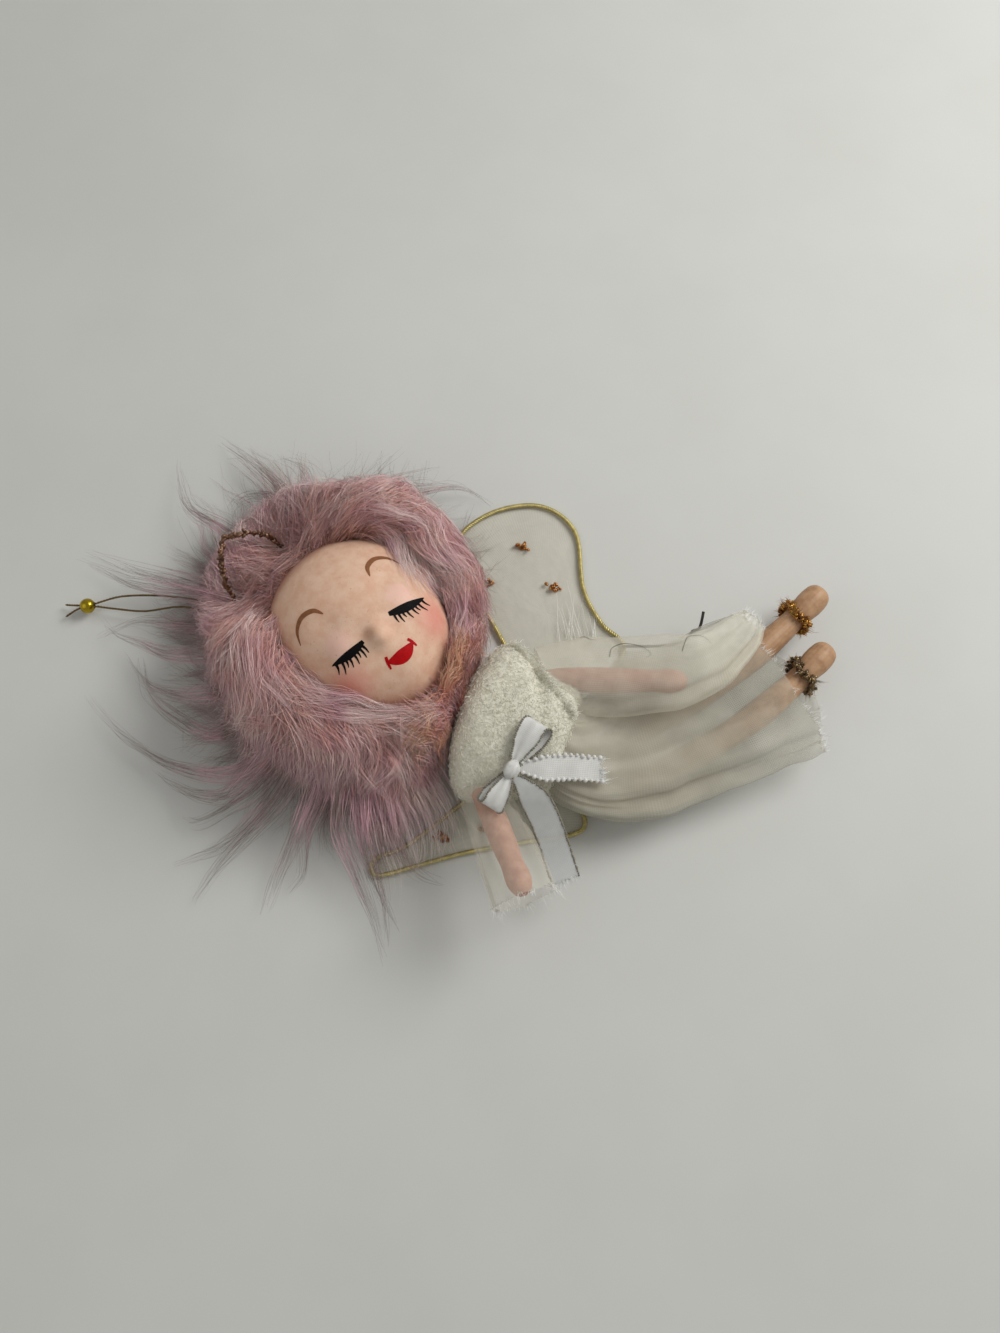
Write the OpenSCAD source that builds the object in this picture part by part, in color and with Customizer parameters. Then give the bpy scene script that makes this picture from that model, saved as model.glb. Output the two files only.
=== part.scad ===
// Pixie angel ornament lying on its back, in millimetres.
// X runs from the crown to the toes, Y to the doll's left, Z from its back to its front.
// The origin is the middle of the back, on the surface that the doll lies on.

/* [Head] */
// Width of the moulded head from ear to ear
head_w = 34; // [28:0.5:40]
// Height of the moulded head from crown to chin
head_h = 38; // [32:0.5:44]
// Depth of the moulded head from face to nape
head_d = 28; // [23:0.5:33]
// How much narrower the head is at the jaw than at the brow
head_jaw = 0.12; // [0:0.01:0.2]
// Lean of the head towards the doll's left shoulder
head_lean = 30; // [0:1:40]
// Distance from the shoulders to the middle of the head
head_reach = 38.5; // [34:0.5:44]
// Shift of the middle of the head towards the left shoulder
head_shift = 6; // [2:0.5:10]
// How far the nose stands out
nose_out = 2; // [0.5:0.1:3]

/* [Hair] */
// Reach of the dense hair from the middle of the head
hair_reach = 37; // [32:0.5:42]
// Reach of the hair towards the shoulders
hair_reach_neck = 22; // [18:0.5:24]
// Thickness of the hair at the edge of the face
hair_rim = 3; // [1.5:0.1:5]
// How far the hair stands above the face at the crown
hair_crest = 3.5; // [1.5:0.1:5]
// Height of the outer edge of the hair
hair_edge = 6; // [3:0.5:9]
// Ridges around the pile, one for each thick strand
ridges = 15; // [10:1:20]
// Depth of the ridges
ridge_depth = 0.7; // [0:0.1:1]
// Length of the longest loose lock
lock_length = 26; // [12:1:32]
// Thickness of a loose lock at its root
lock_d = 2.4; // [1.2:0.1:3.2]

/* [Neck] */
// Diameter of the dowel that the head turns on
peg_d = 4; // [3:0.1:5]
// Depth of the dowel's hole in the head
peg_depth = 9; // [6:0.5:12]
// Diameter of the cloth neck
neck_d = 8; // [6:0.2:9]

/* [Body] */
// Width of the stuffed core
torso_w = 14.4; // [12:0.2:15]
// Thickness of the stuffed core
torso_t = 11.2; // [9:0.2:11.6]
// Width of the plush bodice at the shoulders
bodice_w = 33; // [29:0.5:35]
// Thickness of the plush bodice
bodice_t = 19; // [18:0.2:20]
// Thickness of the plush
plush = 1.2; // [0.8:0.1:1.4]

/* [Arms] */
// Length of an arm from the shoulder pin
arm_length = 30; // [26:0.5:34]
// Thickness of an arm
arm_d = 5; // [4:0.1:5.2]
// Direction of the left arm from the body line
arm_left_turn = 13.5; // [13:0.5:20]
// Direction of the right arm from the body line
arm_right_turn = -52; // [-65:0.5:-48]
// Distance from the shoulder pin to the start of a sleeve
sleeve_from = 11.5; // [11:0.5:14]
// Length of a sleeve
sleeve_length = 22; // [18:0.5:24]
// Width of a sleeve's open end
sleeve_w = 16; // [12:0.5:17]

/* [Legs] */
// Length of a leg from the hip pin to the toes
leg_length = 51; // [44:0.5:56]
// Thickness of a leg at the calf
leg_d = 5.8; // [4.8:0.1:6]
// How far the left leg curves outwards at its middle
leg_left_bow = 2; // [0:0.1:2.5]
// How far the right leg curves outwards at its middle
leg_right_bow = 3; // [0:0.1:3.5]
// Direction of the left leg from the body line
leg_left_turn = 56; // [50:0.5:60]
// Direction of the right leg from the body line
leg_right_turn = 52.5; // [48:0.5:56]
// Diameter of a bead of the anklet
anklet_bead_d = 1.7; // [1:0.1:1.8]
// Beads of one anklet
anklet_beads = 11; // [6:1:11]

/* [Dress] */
// Width of the skirt at the hem
skirt_hem_w = 32.4; // [31:0.2:34]
// Thickness of the organza
organza = 0.4; // [0.3:0.05:0.5]
// Depth of the folds in the skirt
fold_depth = 0.5; // [0:0.1:0.8]
// Folds around the skirt
folds = 9; // [5:1:12]

/* [Wings] */
// Thickness of the gold cord
wing_cord = 1; // [0.8:0.1:1.2]
// Thickness of the wing gauze
gauze = 0.25; // [0.2:0.05:0.4]
// How much larger the gauze is than its cord
gauze_over = 1.03; // [1:0.01:1.06]
// Diameter of a glitter cluster
dot_d = 2.4; // [1.5:0.1:3]

/* [Trim] */
// Width of the bow's ribbon
ribbon_w = 5.5; // [4:0.5:7]
// Thickness of the bow's ribbon
ribbon_t = 0.35; // [0.25:0.05:0.5]
// Length of the bow's long loop
loop_length = 9.5; // [7:0.5:11]
// Thickness of the bow's loops
loop_t = 2.4; // [1.8:0.1:3]
// Diameter of the bow's knot
knot_d = 3.6; // [3:0.1:4.5]
// Diameter of a bead of the tiara
tiara_bead_d = 1.5; // [1:0.1:1.8]
// Radius of the tiara's ring
tiara_r = 7.4; // [6:0.1:7.8]
// Height of the tiara's point
tiara_peak = 7; // [4:0.5:9]

/* [Hanger] */
// Thickness of the metallic thread
thread_d = 0.5; // [0.4:0.05:0.7]
// Diameter of the bead that gathers the loop
hang_bead_d = 3.2; // [2.6:0.1:4]

/* [Fits] */
// Gap between the head and the end of the neck
neck_gap = 0.3; // [0.2:0.05:0.5]
// Gap between the dowel and the head
swivel_gap = 0.06; // [0.04:0.01:0.1]
// Gap between a pin and the eye of a limb
eye_gap = 0.08; // [0.05:0.01:0.1]
// Thickness of the staples' wire
staple_d = 1.1; // [0.9:0.1:1.2]
// Gap between the hair and the head
hair_gap = 0.4; // [0.3:0.05:0.6]

/* [Hidden] */
$fn = 48;

// middle of the head and its own directions
head_at = [-head_reach, head_shift, head_d / 2 + 3.5];
head_up = [-cos(head_lean), sin(head_lean), 0];
head_left = [sin(head_lean), cos(head_lean), 0];
head_front = [0, 0, 1];
// line that the head turns on
neck_y = -1;
neck_z = 13;
neck_tip_r = neck_d / 2 - 0.9;
// middle of the upper body
chest_y = -2.5;
chest_z = 11.5;
// pins of the limbs
shoulder_left_at = [-4, 7.6, 14];
shoulder_right_at = [-10, -12.2, 11];
hip_left_at = [18.3, 4.6, 7.5];
hip_right_at = [20, -5.5, 7.5];
arm_left_rise = 10;
arm_right_rise = 20;
eye_r = 2.2;
eye_t = 3.4;
staple_h = 2.4;
// pile of the hair: the middle that it is measured from, and the plane that it stays behind
hair_at = [-38, 5];
hair_stop = -15.6;
floor_gap = 0.3;
tiara_at = [-65.5, 13.5, 11];
tiara_turn = 164;
bow_at = [-1.9, -13, 20.7];
bow_tilt = 10;
// skirt stations: middle, direction, half width and half height
waist_w = 18.4;
skirt_path = [
    [[3.2, chest_y, 11.5], 0, waist_w / 2, 7.3],
    [[8.2, chest_y - 0.8, 10.5], 8, waist_w / 2 + 0.6, 7],
    [[13.6, 0.5, 8.2], 20, 13, 6.3],
    [[20, 5.5, 7], 32, 15.5, 6.2],
    [[28, 11, 6.6], 40, 15.6, 5.9],
    [[35.4, 18.1, 6.6], 45, skirt_hem_w / 2, 6],
    [[42.9, 24.6, 6.6], 47, skirt_hem_w / 2, 6]];

function mix(a, b, t) = a + (b - a) * t;
function smooth(t) = let (u = min(1, max(0, t))) u * u * (3 - 2 * u);
function unit(v) = v / norm(v);
function polar(a) = [cos(a), sin(a), 0];
function spline_at(a, b, c, d, t) =
    0.5 * (2 * b + (c - a) * t + (2 * a - 5 * b + 4 * c - d) * t * t
        + (3 * b - a - 3 * c + d) * t * t * t);
function open_spline(p, steps) =
    let (n = len(p) - 1)
    [for (i = [0:n - 1]) for (s = [0:steps - 1])
        spline_at(p[max(i - 1, 0)], p[i], p[i + 1], p[min(i + 2, n)], s / steps), p[n]];
function closed_spline(p, steps) =
    let (n = len(p))
    [for (i = [0:n - 1]) for (s = [0:steps - 1])
        spline_at(p[(i + n - 1) % n], p[i], p[(i + 1) % n], p[(i + 2) % n], s / steps)];

// faces between two rings of n points that start at a and at b
function band(a, b, n) =
    [for (j = [0:n - 1]) let (k = (j + 1) % n)
        each [[a + k, a + j, b + j], [a + k, b + j, b + k]]];
function flat(rings) = [for (r = rings) each r];
function middle(r) = let (n = len(r)) [for (i = [0:2]) [for (p = r) p[i]] * [for (p = r) 1] / n];
// closed skin over rings, with a cap at each end
function capped(rings) =
    let (n = len(rings[0]), m = len(rings), c = n * m)
    [concat(flat(rings), [middle(rings[0]), middle(rings[m - 1])]),
        concat([for (i = [0:m - 2]) each band(i * n, (i + 1) * n, n)],
            [for (j = [0:n - 1]) [c, j, (j + 1) % n]],
            [for (j = [0:n - 1]) [c + 1, (m - 1) * n + (j + 1) % n, (m - 1) * n + j]])];
// skin over rings whose last ring joins the first
function looped(rings) =
    let (n = len(rings[0]), m = len(rings))
    [flat(rings), [for (i = [0:m - 1]) each band(i * n, ((i + 1) % m) * n, n)]];
// several skins with the same number of points in one solid list
function joined(skins) =
    let (n = len(skins[0][0]))
    [[for (s = skins) each s[0]],
        [for (i = [0:len(skins) - 1]) for (f = skins[i][1]) f + [i * n, i * n, i * n]]];
module skin(s) {
    polyhedron(points = s[0], faces = s[1], convexity = 8);
}

// rings of a tube along a path; ref is a direction that the path never runs along
function tangent(p, i, wrap) =
    let (n = len(p))
    unit(wrap ? p[(i + 1) % n] - p[(i + n - 1) % n] : p[min(i + 1, n - 1)] - p[max(i - 1, 0)]);
function tube_rings(p, r, sides, ref, wrap) =
    [for (i = [0:len(p) - 1])
        let (t = tangent(p, i, wrap), u = unit(cross(ref, t)), v = cross(t, u),
            q = is_list(r) ? r[i] : r)
        [for (j = [0:sides - 1]) p[i] + q * (u * cos(360 * j / sides) + v * sin(360 * j / sides))]];
module tube(p, r, sides, ref) {
    skin(capped(tube_rings(p, r, sides, ref, false)));
}
module ring_tube(p, r, sides, ref) {
    skin(looped(tube_rings(p, r, sides, ref, true)));
}

// ring of a soft body: middle, direction in the plane, half width, half height, squareness
function soft_ring(c, a, w, h, sides, e = 2.3) =
    [for (j = [0:sides - 1]) let (f = 360 * j / sides, x = cos(f), z = sin(f))
        c + polar(a + 90) * w * sign(x) * pow(abs(x), 2 / e) + [0, 0, h * sign(z) * pow(abs(z), 2 / e)]];
// the same ring with folds that deepen towards the hem
function fold_ring(c, a, w, h, sides, depth) =
    [for (j = [0:sides - 1])
        let (f = 360 * j / sides, x = cos(f), z = sin(f), k = depth * (cos(folds * f) - 1) / 2)
        c + polar(a + 90) * (w + k) * sign(x) * pow(abs(x), 0.86)
            + [0, 0, (h + k) * sign(z) * pow(abs(z), 0.86)]];

// stations between the given ones, as middle, direction, half width and half height
function stations(s, steps) =
    let (c = open_spline([for (q = s) q[0]], steps), v = open_spline([for (q = s) [q[1], q[2], q[3]]], steps))
    [for (i = [0:len(c) - 1]) [c[i], v[i][0], v[i][1], v[i][2]]];

// places a limb that runs along Z so that it leaves the point p in a direction
module aim(p, turn, rise) {
    translate(p) rotate([0, 90 - rise, turn]) children();
}

// head: an ellipsoid with cheeks, chin, nose and shallow eye sockets, in its own directions
function lump(d, at, spread) = exp(-pow(norm(d - unit(at)) / spread, 2));
function skull_r(d) =
    let (u = d * head_up)
    1 / norm([d * head_left / (head_w / 2 * (1 + head_jaw * u)), u / (head_h / 2),
        d * head_front / (head_d / 2)]);
// raised and hollow places of the face: direction to its left, up and front, spread and height
face_forms = [
    [[-0.07, -0.5, 0.865], 0.125, nose_out], [[-0.04, -0.36, 0.93], 0.13, 0.4],
    [[0.47, -0.27, 0.84], 0.2, 0.7], [[-0.51, -0.27, 0.82], 0.2, 0.7],
    [[0.47, 0, 0.88], 0.2, -0.5], [[-0.5, 0, 0.87], 0.2, -0.5],
    [[0.6, -0.64, 0.49], 0.32, 0.9], [[-0.64, -0.61, 0.46], 0.32, 0.9],
    [[0.01, -0.76, 0.65], 0.2, 0.5], [[0.03, -0.93, 0.36], 0.3, 0.6]];
function face_r(l, u, f) =
    [for (q = face_forms) q[2] * lump([l, u, f], q[0], q[1])] * [for (q = face_forms) 1];
function head_point(l, u, f) =
    let (d = l * head_left + u * head_up + f * head_front)
    head_at + d * (skull_r(d) + face_r(l, u, f));
// end of the neck: as close to the head as the gap lets it, all round its rim
function in_head(p) =
    let (q = p - head_at, d = unit(q))
    norm(q) < skull_r(d) + face_r(d * head_left, d * head_up, d * head_front);
function head_edge(y, z, a, b, n) =
    let (m = (a + b) / 2)
    n == 0 ? b : in_head([m, y, z]) ? head_edge(y, z, m, b, n - 1) : head_edge(y, z, a, m, n - 1);
neck_end = neck_gap + max([for (a = [0:15:345])
    head_edge(neck_y + neck_tip_r * cos(a), neck_z + neck_tip_r * sin(a), head_at[0], 0, 24)]);
head_sides = 40;
head_rings = [for (i = [1:23]) let (b = -90 + 180 * i / 24)
    [for (j = [0:head_sides - 1]) let (a = 360 * j / head_sides)
        head_point(cos(b) * sin(a), sin(b), cos(b) * cos(a))]];

module head() {
    color([0.88, 0.72, 0.62])
    difference() {
        skin(capped(head_rings));
        translate([neck_end - 1 - peg_depth - 2.5, neck_y, neck_z])
            rotate([0, 90, 0])
            cylinder(d = peg_d + 2 * swivel_gap, h = peg_depth + 12);
    }
}

// hair: a cup around the skull, a rim at the face and a pile that falls to the table
hair_sides = 60;
function pile_r(a) =
    let (b = a > 180 ? a - 360 : a, from = b > 0 ? 45 : 28)
    mix(hair_reach_neck, hair_reach, smooth((abs(b) - from) / 60)) + ridge_depth * cos(ridges * a);
function cup_point(a, e) =
    let (d = [cos(e) * cos(a), cos(e) * sin(a), sin(e)])
    head_at + d * (skull_r(d) + face_r(d * head_left, d * head_up, d * head_front) + hair_gap);
function rim_rise(a) = mix(6, 22, 0.5 + 0.5 * cos(a - 180 + head_lean));
function pile_point(a, s) =
    let (p = cup_point(a, rim_rise(a)), out = polar(a),
        foot = [hair_at[0], hair_at[1], 0] + out * pile_r(a),
        start = [p[0], p[1], 0] + out * hair_rim, q = mix(start, foot, s),
        crest = mix(1.2, hair_crest, 0.5 + 0.5 * cos(a - 160 + head_lean)),
        top = mix(hair_edge, p[2] + crest, pow(max(0, 1 - s * s), 0.8)))
    [min(q[0], hair_stop), q[1], top];
function under_point(a, s) =
    let (foot = [hair_at[0], hair_at[1], 0] + polar(a) * (pile_r(a) - 1.2),
        q = mix([head_at[0], head_at[1], 0], foot, s))
    [min(q[0], hair_stop), q[1], floor_gap];
hair_angles = [for (j = [0:hair_sides - 1]) 360 - 360 * j / hair_sides];
hair_rings = concat(
    [for (i = [0:7]) [for (a = hair_angles) cup_point(a, mix(-80, rim_rise(a), i / 7))]],
    [for (s = [0, 0.3, 0.55, 0.75, 0.9, 1]) [for (a = hair_angles) pile_point(a, s)]],
    [for (s = [1, 0.6, 0.25]) [for (a = hair_angles) under_point(a, s)]]);

module hair() {
    color([0.69, 0.55, 0.6])
    difference() {
        skin(capped(hair_rings));
        translate([neck_end - 5, neck_y, neck_z])
            rotate([0, 90, 0])
            cylinder(d = neck_d + 1.4, h = -neck_end);
    }
}

// loose locks: direction, share of the longest lock, bend at the tip
locks = [[100, 0.75, -6], [112, 0.55, 4], [124, 0.95, -8], [134, 0.6, 5], [143, 1, 6], [153, 0.55, -4],
    [190, 0.8, 7], [201, 1, -6], [211, 0.7, 5], [221, 1, -7], [231, 0.6, 6], [240, 0.9, -5], [250, 0.6, 5],
    [259, 0.8, -6], [268, 0.6, 6]];
function lock_path(k) =
    let (out = polar(k[0]), side = polar(k[0] + 90),
        start = [hair_at[0], hair_at[1], 0] + out * (hair_reach - 2))
    [for (s = [0:1 / 8:1])
        start + out * (lock_length * k[1] * s) + side * (k[2] * s * s)
            + [0, 0, 3.2 - 1.4 * s + 1.2 * sin(180 * s)]];
lock_taper = [for (s = [0:1 / 8:1]) lock_d / 2 * (1 - 0.8 * s)];

module hair_wisps() {
    color([0.62, 0.5, 0.55])
        skin(joined([for (k = locks) capped(tube_rings(lock_path(k), lock_taper, 6, [0, 0, 1], false))]));
}

// tiara: a beaded wire ring that rises to a point at its front
function tiara_point(a) =
    let (rise = a < 180 ? tiara_peak * (1 - abs(a - 90) / 90) : 0)
    tiara_at + tiara_r * (cos(a) * polar(tiara_turn - 90) + [0, 0, sin(a)]) + polar(tiara_turn) * rise;

module tiara_wire() {
    color([0.5, 0.36, 0.26])
        ring_tube([for (i = [0:35]) tiara_point(360 * i / 36)], 0.35, 6, polar(tiara_turn));
}

module tiara_beads() {
    color([0.6, 0.4, 0.28])
    for (i = [0:16])
        translate(tiara_point(2 + 11 * i))
            sphere(d = tiara_bead_d, $fn = 16);
}

// hanging thread: both strands leave the crown, meet in the bead and end in short tails
hang_root = head_at + head_up * (head_h / 2 - 1.5);
hang_bead_at = [-99.6, -1.9, 2.4];
hang_turn = 205;
strand_gap = thread_d / 2 + 0.07;
function strand(side) =
    let (n = polar(hang_turn - 90) * strand_gap * side)
    open_spline([hang_root + [0, 1.2 * side, 0], [-59, 7.4 + side, 13], [-68, 4.2 + side, 9],
        [-79, 4.2 + side, 5.6], [-87, 2.4 + 1.9 * side, 3.4],
        [-93.5, 0.8 + 1.5 * side, 2.6],
        hang_bead_at - polar(hang_turn) * 3 + n * 2, hang_bead_at - polar(hang_turn) * 1.6 + n,
        hang_bead_at + polar(hang_turn) * 1.6 + n,
        hang_bead_at + polar(hang_turn - 12 * side) * 5 + n - [0, 0, 1.2]], 4);

module hang_strand_a() {
    color([0.5, 0.44, 0.25])
        tube(strand(-1), thread_d / 2, 8, [0, 0, 1]);
}

module hang_strand_b() {
    color([0.5, 0.44, 0.25])
        tube(strand(1), thread_d / 2, 8, [0, 0, 1]);
}

module hang_bead() {
    color([0.75, 0.66, 0.2])
    translate(hang_bead_at)
        rotate([0, 90, hang_turn])
        difference() {
            sphere(d = hang_bead_d, $fn = 32);
            cylinder(d = 2.4 * thread_d + 0.2, h = hang_bead_d + 2, center = true);
        }
}

// stuffed core of the body
torso_stations = [
    [[-12.2, chest_y, 12.4], 0, torso_w * 0.26, torso_t * 0.3],
    [[-10.5, chest_y, 12], 0, torso_w * 0.42, torso_t * 0.44],
    [[-4, chest_y, chest_z], 0, torso_w / 2, torso_t / 2],
    [[5, chest_y, chest_z - 0.3], 0, torso_w * 0.49, torso_t / 2],
    [[10, -1.5, 10], 6, torso_w * 0.46, torso_t * 0.44],
    [[13.5, -0.6, 7.7], 8, torso_w * 0.49, torso_t * 0.37],
    [[15.2, -0.5, 7.5], 8, torso_w * 0.44, torso_t * 0.31]];
torso_sides = 28;

module torso() {
    color([0.9, 0.82, 0.74])
        skin(capped([for (q = stations(torso_stations, 2)) soft_ring(q[0], q[1], q[2], q[3], torso_sides)]));
}

// plush bodice: an open shell with a notch at each arm
bodice_stations = [
    [[-14.4, chest_y, chest_z + 0.5], 0, bodice_w * 0.24, bodice_t * 0.33],
    [[-13, chest_y, chest_z], 0, bodice_w * 0.44, bodice_t * 0.42],
    [[-9.5, chest_y, chest_z], 0, bodice_w / 2, bodice_t * 0.48],
    [[-4, chest_y, chest_z], 0, bodice_w * 0.42, bodice_t / 2],
    [[1, chest_y, chest_z], 0, bodice_w * 0.355, bodice_t * 0.49],
    [[5, chest_y, chest_z - 0.2], 0, bodice_w * 0.34, bodice_t * 0.475]];
bodice_sides = 36;

module bodice() {
    s = stations(bodice_stations, 2);
    n = len(s) - 1;
    color([0.85, 0.84, 0.8])
    difference() {
        skin(looped(concat(
            [for (q = s) soft_ring(q[0], q[1], q[2], q[3], bodice_sides)],
            [for (i = [n:-1:0]) let (q = s[i])
                soft_ring(q[0], q[1], q[2] - plush, q[3] - plush, bodice_sides)])));
        for (p = [shoulder_left_at, shoulder_right_at])
            translate([p[0] - eye_r - 0.5, p[1] + (p[1] > 0 ? -eye_r - 0.6 : eye_r - 19.4), p[2] - 4.3])
                cube([24, 20, 10.4]);
    }
}

module neck() {
    color([0.86, 0.6, 0.5])
    translate([0, neck_y, neck_z])
        rotate([0, -90, 0])
        rotate_extrude()
        polygon([[peg_d / 2, 12.6], [neck_d / 2 - 0.4, 12.6], [neck_d / 2, 14], [neck_d / 2 - 0.5, 16.5],
            [neck_tip_r, -neck_end], [peg_d / 2, -neck_end]]);
}

module neck_peg() {
    color([0.8, 0.68, 0.5])
    translate([neck_end - peg_depth, neck_y, neck_z])
        rotate([0, 90, 0])
        cylinder(d = peg_d, h = peg_depth - neck_end - 7);
}

// open cloth tube along stations, thinned inwards
function cloth(s, sides, thick, depth) =
    let (n = len(s) - 1)
    looped(concat(
        [for (i = [0:n]) let (q = s[i]) fold_ring(q[0], q[1], q[2], q[3], sides, depth * i / n)],
        [for (i = [n:-1:0]) let (q = s[i])
            fold_ring(q[0], q[1], q[2] - thick, q[3] - thick, sides, depth * i / n)]));

module skirt() {
    color([0.72, 0.71, 0.67])
        skin(cloth(stations(skirt_path, 2), 45, organza, fold_depth));
}

module underskirt() {
    lining = [for (i = [0:5]) let (q = skirt_path[i]) [q[0], q[1], q[2] - 1.2, q[3] - 0.85]];
    color([0.87, 0.82, 0.74])
        skin(cloth(stations(lining, 2), 36, organza, 0));
}

// wings: cord outlines as closed curves, and one piece of gauze under both
wing_z = gauze + 0.05 + wing_cord / 2;
wing_left = [[0, 3], [-8, 12.5], [-20.5, 25], [-30, 36], [-26, 45.5], [-16, 51], [-6.7, 47.5], [-1, 35],
    [5, 28.5], [11, 24.5], [9, 13], [4.5, 5]];
wing_right = [[0, -3], [-9, -15], [-18, -28.5], [-23.5, -33.5], [-22, -36.5], [-14, -31.5], [-6.3, -26.5],
    [4, -21], [14, -15], [9, -8], [4.5, -4.5]];
function at_height(p, z) = [for (q = p) [q[0], q[1], z]];

module wing_gauze() {
    color([0.8, 0.78, 0.72])
    linear_extrude(height = gauze) {
        scale(gauze_over) polygon(closed_spline(wing_left, 4));
        scale(gauze_over) polygon(closed_spline(wing_right, 4));
        translate([-1, -5]) square([6, 10]);
    }
}

module wing_wire_left() {
    color([0.72, 0.65, 0.3])
        ring_tube(at_height(closed_spline(wing_left, 4), wing_z), wing_cord / 2, 8, [0, 0, 1]);
}

module wing_wire_right() {
    color([0.72, 0.65, 0.3])
        ring_tube(at_height(closed_spline(wing_right, 4), wing_z), wing_cord / 2, 8, [0, 0, 1]);
}

module wing_dots() {
    color([0.6, 0.36, 0.2])
    for (p = [[-16.4, 40.6], [-7.2, 33.1], [-21.5, 30], [-12.5, -25.5], [-4.5, -21]])
        translate([p[0], p[1], gauze])
            cylinder(d1 = dot_d, d2 = dot_d * 0.6, h = 0.6, $fn = 20);
}

module tie_wire() {
    p = open_spline([[10.6, 24.6, wing_z + wing_cord / 2 + 0.35], [18, 26.5, 3], [22.6, 28.6, 4.4],
        [23.6, 31, 5], [24.8, 32, 5.4], [24.6, 35.4, 6.2]], 3);
    color([0.2, 0.17, 0.15])
        tube(p, 0.3, 6, [0, 0, 1]);
}

// bow: flat loops of ribbon, narrowed where the knot gathers them
module drop(l, h) {
    polygon([for (a = [0:10:350]) [l / 2 * (1 - cos(a)), h / 2 * sin(a) * pow(sin(a / 2), 1.5)]]);
}

module bow_loop(l, turn) {
    rotate([0, 0, turn])
    intersection() {
        rotate([90, 0, 0])
            translate([0, 0, -ribbon_w / 2])
            linear_extrude(height = ribbon_w)
            difference() {
                drop(l, loop_t);
                translate([ribbon_t * 2.4, 0]) drop(l - ribbon_t * 3.4, loop_t - ribbon_t * 2);
            }
        translate([0, 0, -4])
            linear_extrude(height = 8)
            polygon([[0.5, -1.1], [l * 0.7, -ribbon_w / 2], [l + 1, -ribbon_w / 2],
                [l + 1, ribbon_w / 2], [l * 0.7, ribbon_w / 2], [0.5, 1.1]]);
    }
}

module bow_place() {
    translate(bow_at) rotate([bow_tilt, 0, 0]) children();
}

module bow_loops() {
    color([0.86, 0.86, 0.84])
    bow_place() {
        translate(polar(80) * 0.9) bow_loop(loop_length, 80);
        translate(polar(252) * 0.9) bow_loop(loop_length * 0.74, 252);
    }
}

module bow_knot() {
    color([0.8, 0.8, 0.8])
    bow_place()
        rotate([90, 0, -12])
        rotate_extrude($fn = 32)
        polygon([[0, -2], [knot_d * 0.38, -2], [knot_d / 2, -1], [knot_d / 2, 1],
            [knot_d * 0.38, 2], [0, 2]]);
}

// flat strip of ribbon along a path, across the given direction
function strip_ring(p, across, w, t) =
    [p - across * w / 2 - [0, 0, t / 2], p + across * w / 2 - [0, 0, t / 2],
        p + across * w / 2 + [0, 0, t / 2], p - across * w / 2 + [0, 0, t / 2]];
function strip(path, turn, lean, w) =
    let (p = open_spline(path, 4), across = unit(polar(turn - 90) - [0, 0, lean]))
    capped([for (i = [0:len(p) - 1]) strip_ring(p[i], across, mix(1.2, w, smooth(i / 6)), ribbon_t)]);

module bow_tails() {
    color([0.86, 0.86, 0.84])
        skin(joined([
            strip([bow_at + [1.3, 0.6, 0], [3, -11.2, 20.6], [8, -8.8, 18.8], [14, -6.6, 16]],
                24, 0.4, ribbon_w),
            strip([bow_at + [1.3, -0.9, -0.3], [2.8, -15.8, 19.4], [7.4, -19.3, 14.5], [12.4, -24.4, 11.3]],
                -50, 0, ribbon_w)]));
}

// staples: a pin through the eye of a limb, with two legs in the body
module staple(p, turn, reach) {
    translate(p) {
        cylinder(d = staple_d, h = 2 * staple_h + staple_d, center = true);
        for (s = [-1, 1])
            translate([0, 0, s * staple_h])
                rotate([0, 90, turn])
                cylinder(d = staple_d * 0.85, h = reach);
    }
}

module shoulder_staple_left() {
    color([0.6, 0.6, 0.62]) staple(shoulder_left_at, -90, 6);
}

module shoulder_staple_right() {
    color([0.6, 0.6, 0.62]) staple(shoulder_right_at, 90, 7);
}

module hip_staple_left() {
    color([0.6, 0.6, 0.62]) staple(hip_left_at, 180, 6.5);
}

module hip_staple_right() {
    color([0.6, 0.6, 0.62]) staple(hip_right_at, 180, 8);
}

// limbs: a turned shaft with an eye for the pin at its upper end
module limb(p, turn, rise, profile) {
    difference() {
        union() {
            translate(p) cylinder(r = eye_r, h = eye_t, center = true);
            aim(p, turn, rise)
                rotate_extrude()
                polygon(concat([[0, 0.4]], open_spline(profile, 3), [[0, profile[len(profile) - 1][1]]]));
        }
        translate(p) cylinder(d = staple_d + 2 * eye_gap, h = 12, center = true);
    }
}

arm_profile = [[1.4, 0.4], [arm_d * 0.38, 3], [arm_d * 0.46, 6], [arm_d * 0.5, 12],
    [arm_d * 0.48, arm_length - 11], [arm_d * 0.43, arm_length - 6.5], [arm_d * 0.48, arm_length - 3.2],
    [arm_d * 0.36, arm_length - 0.8], [arm_d * 0.16, arm_length]];
leg_profile = [[1.4, 0.4], [leg_d * 0.33, 3], [leg_d * 0.42, 8], [leg_d * 0.47, leg_length * 0.3],
    [leg_d * 0.45, leg_length * 0.45], [leg_d * 0.5, leg_length * 0.6], [leg_d * 0.44, leg_length * 0.76],
    [leg_d * 0.41, leg_length - 8.5], [leg_d * 0.5, leg_length - 4.4], [leg_d * 0.47, leg_length - 1.6],
    [leg_d * 0.36, leg_length - 0.4], [leg_d * 0.22, leg_length]];
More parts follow.
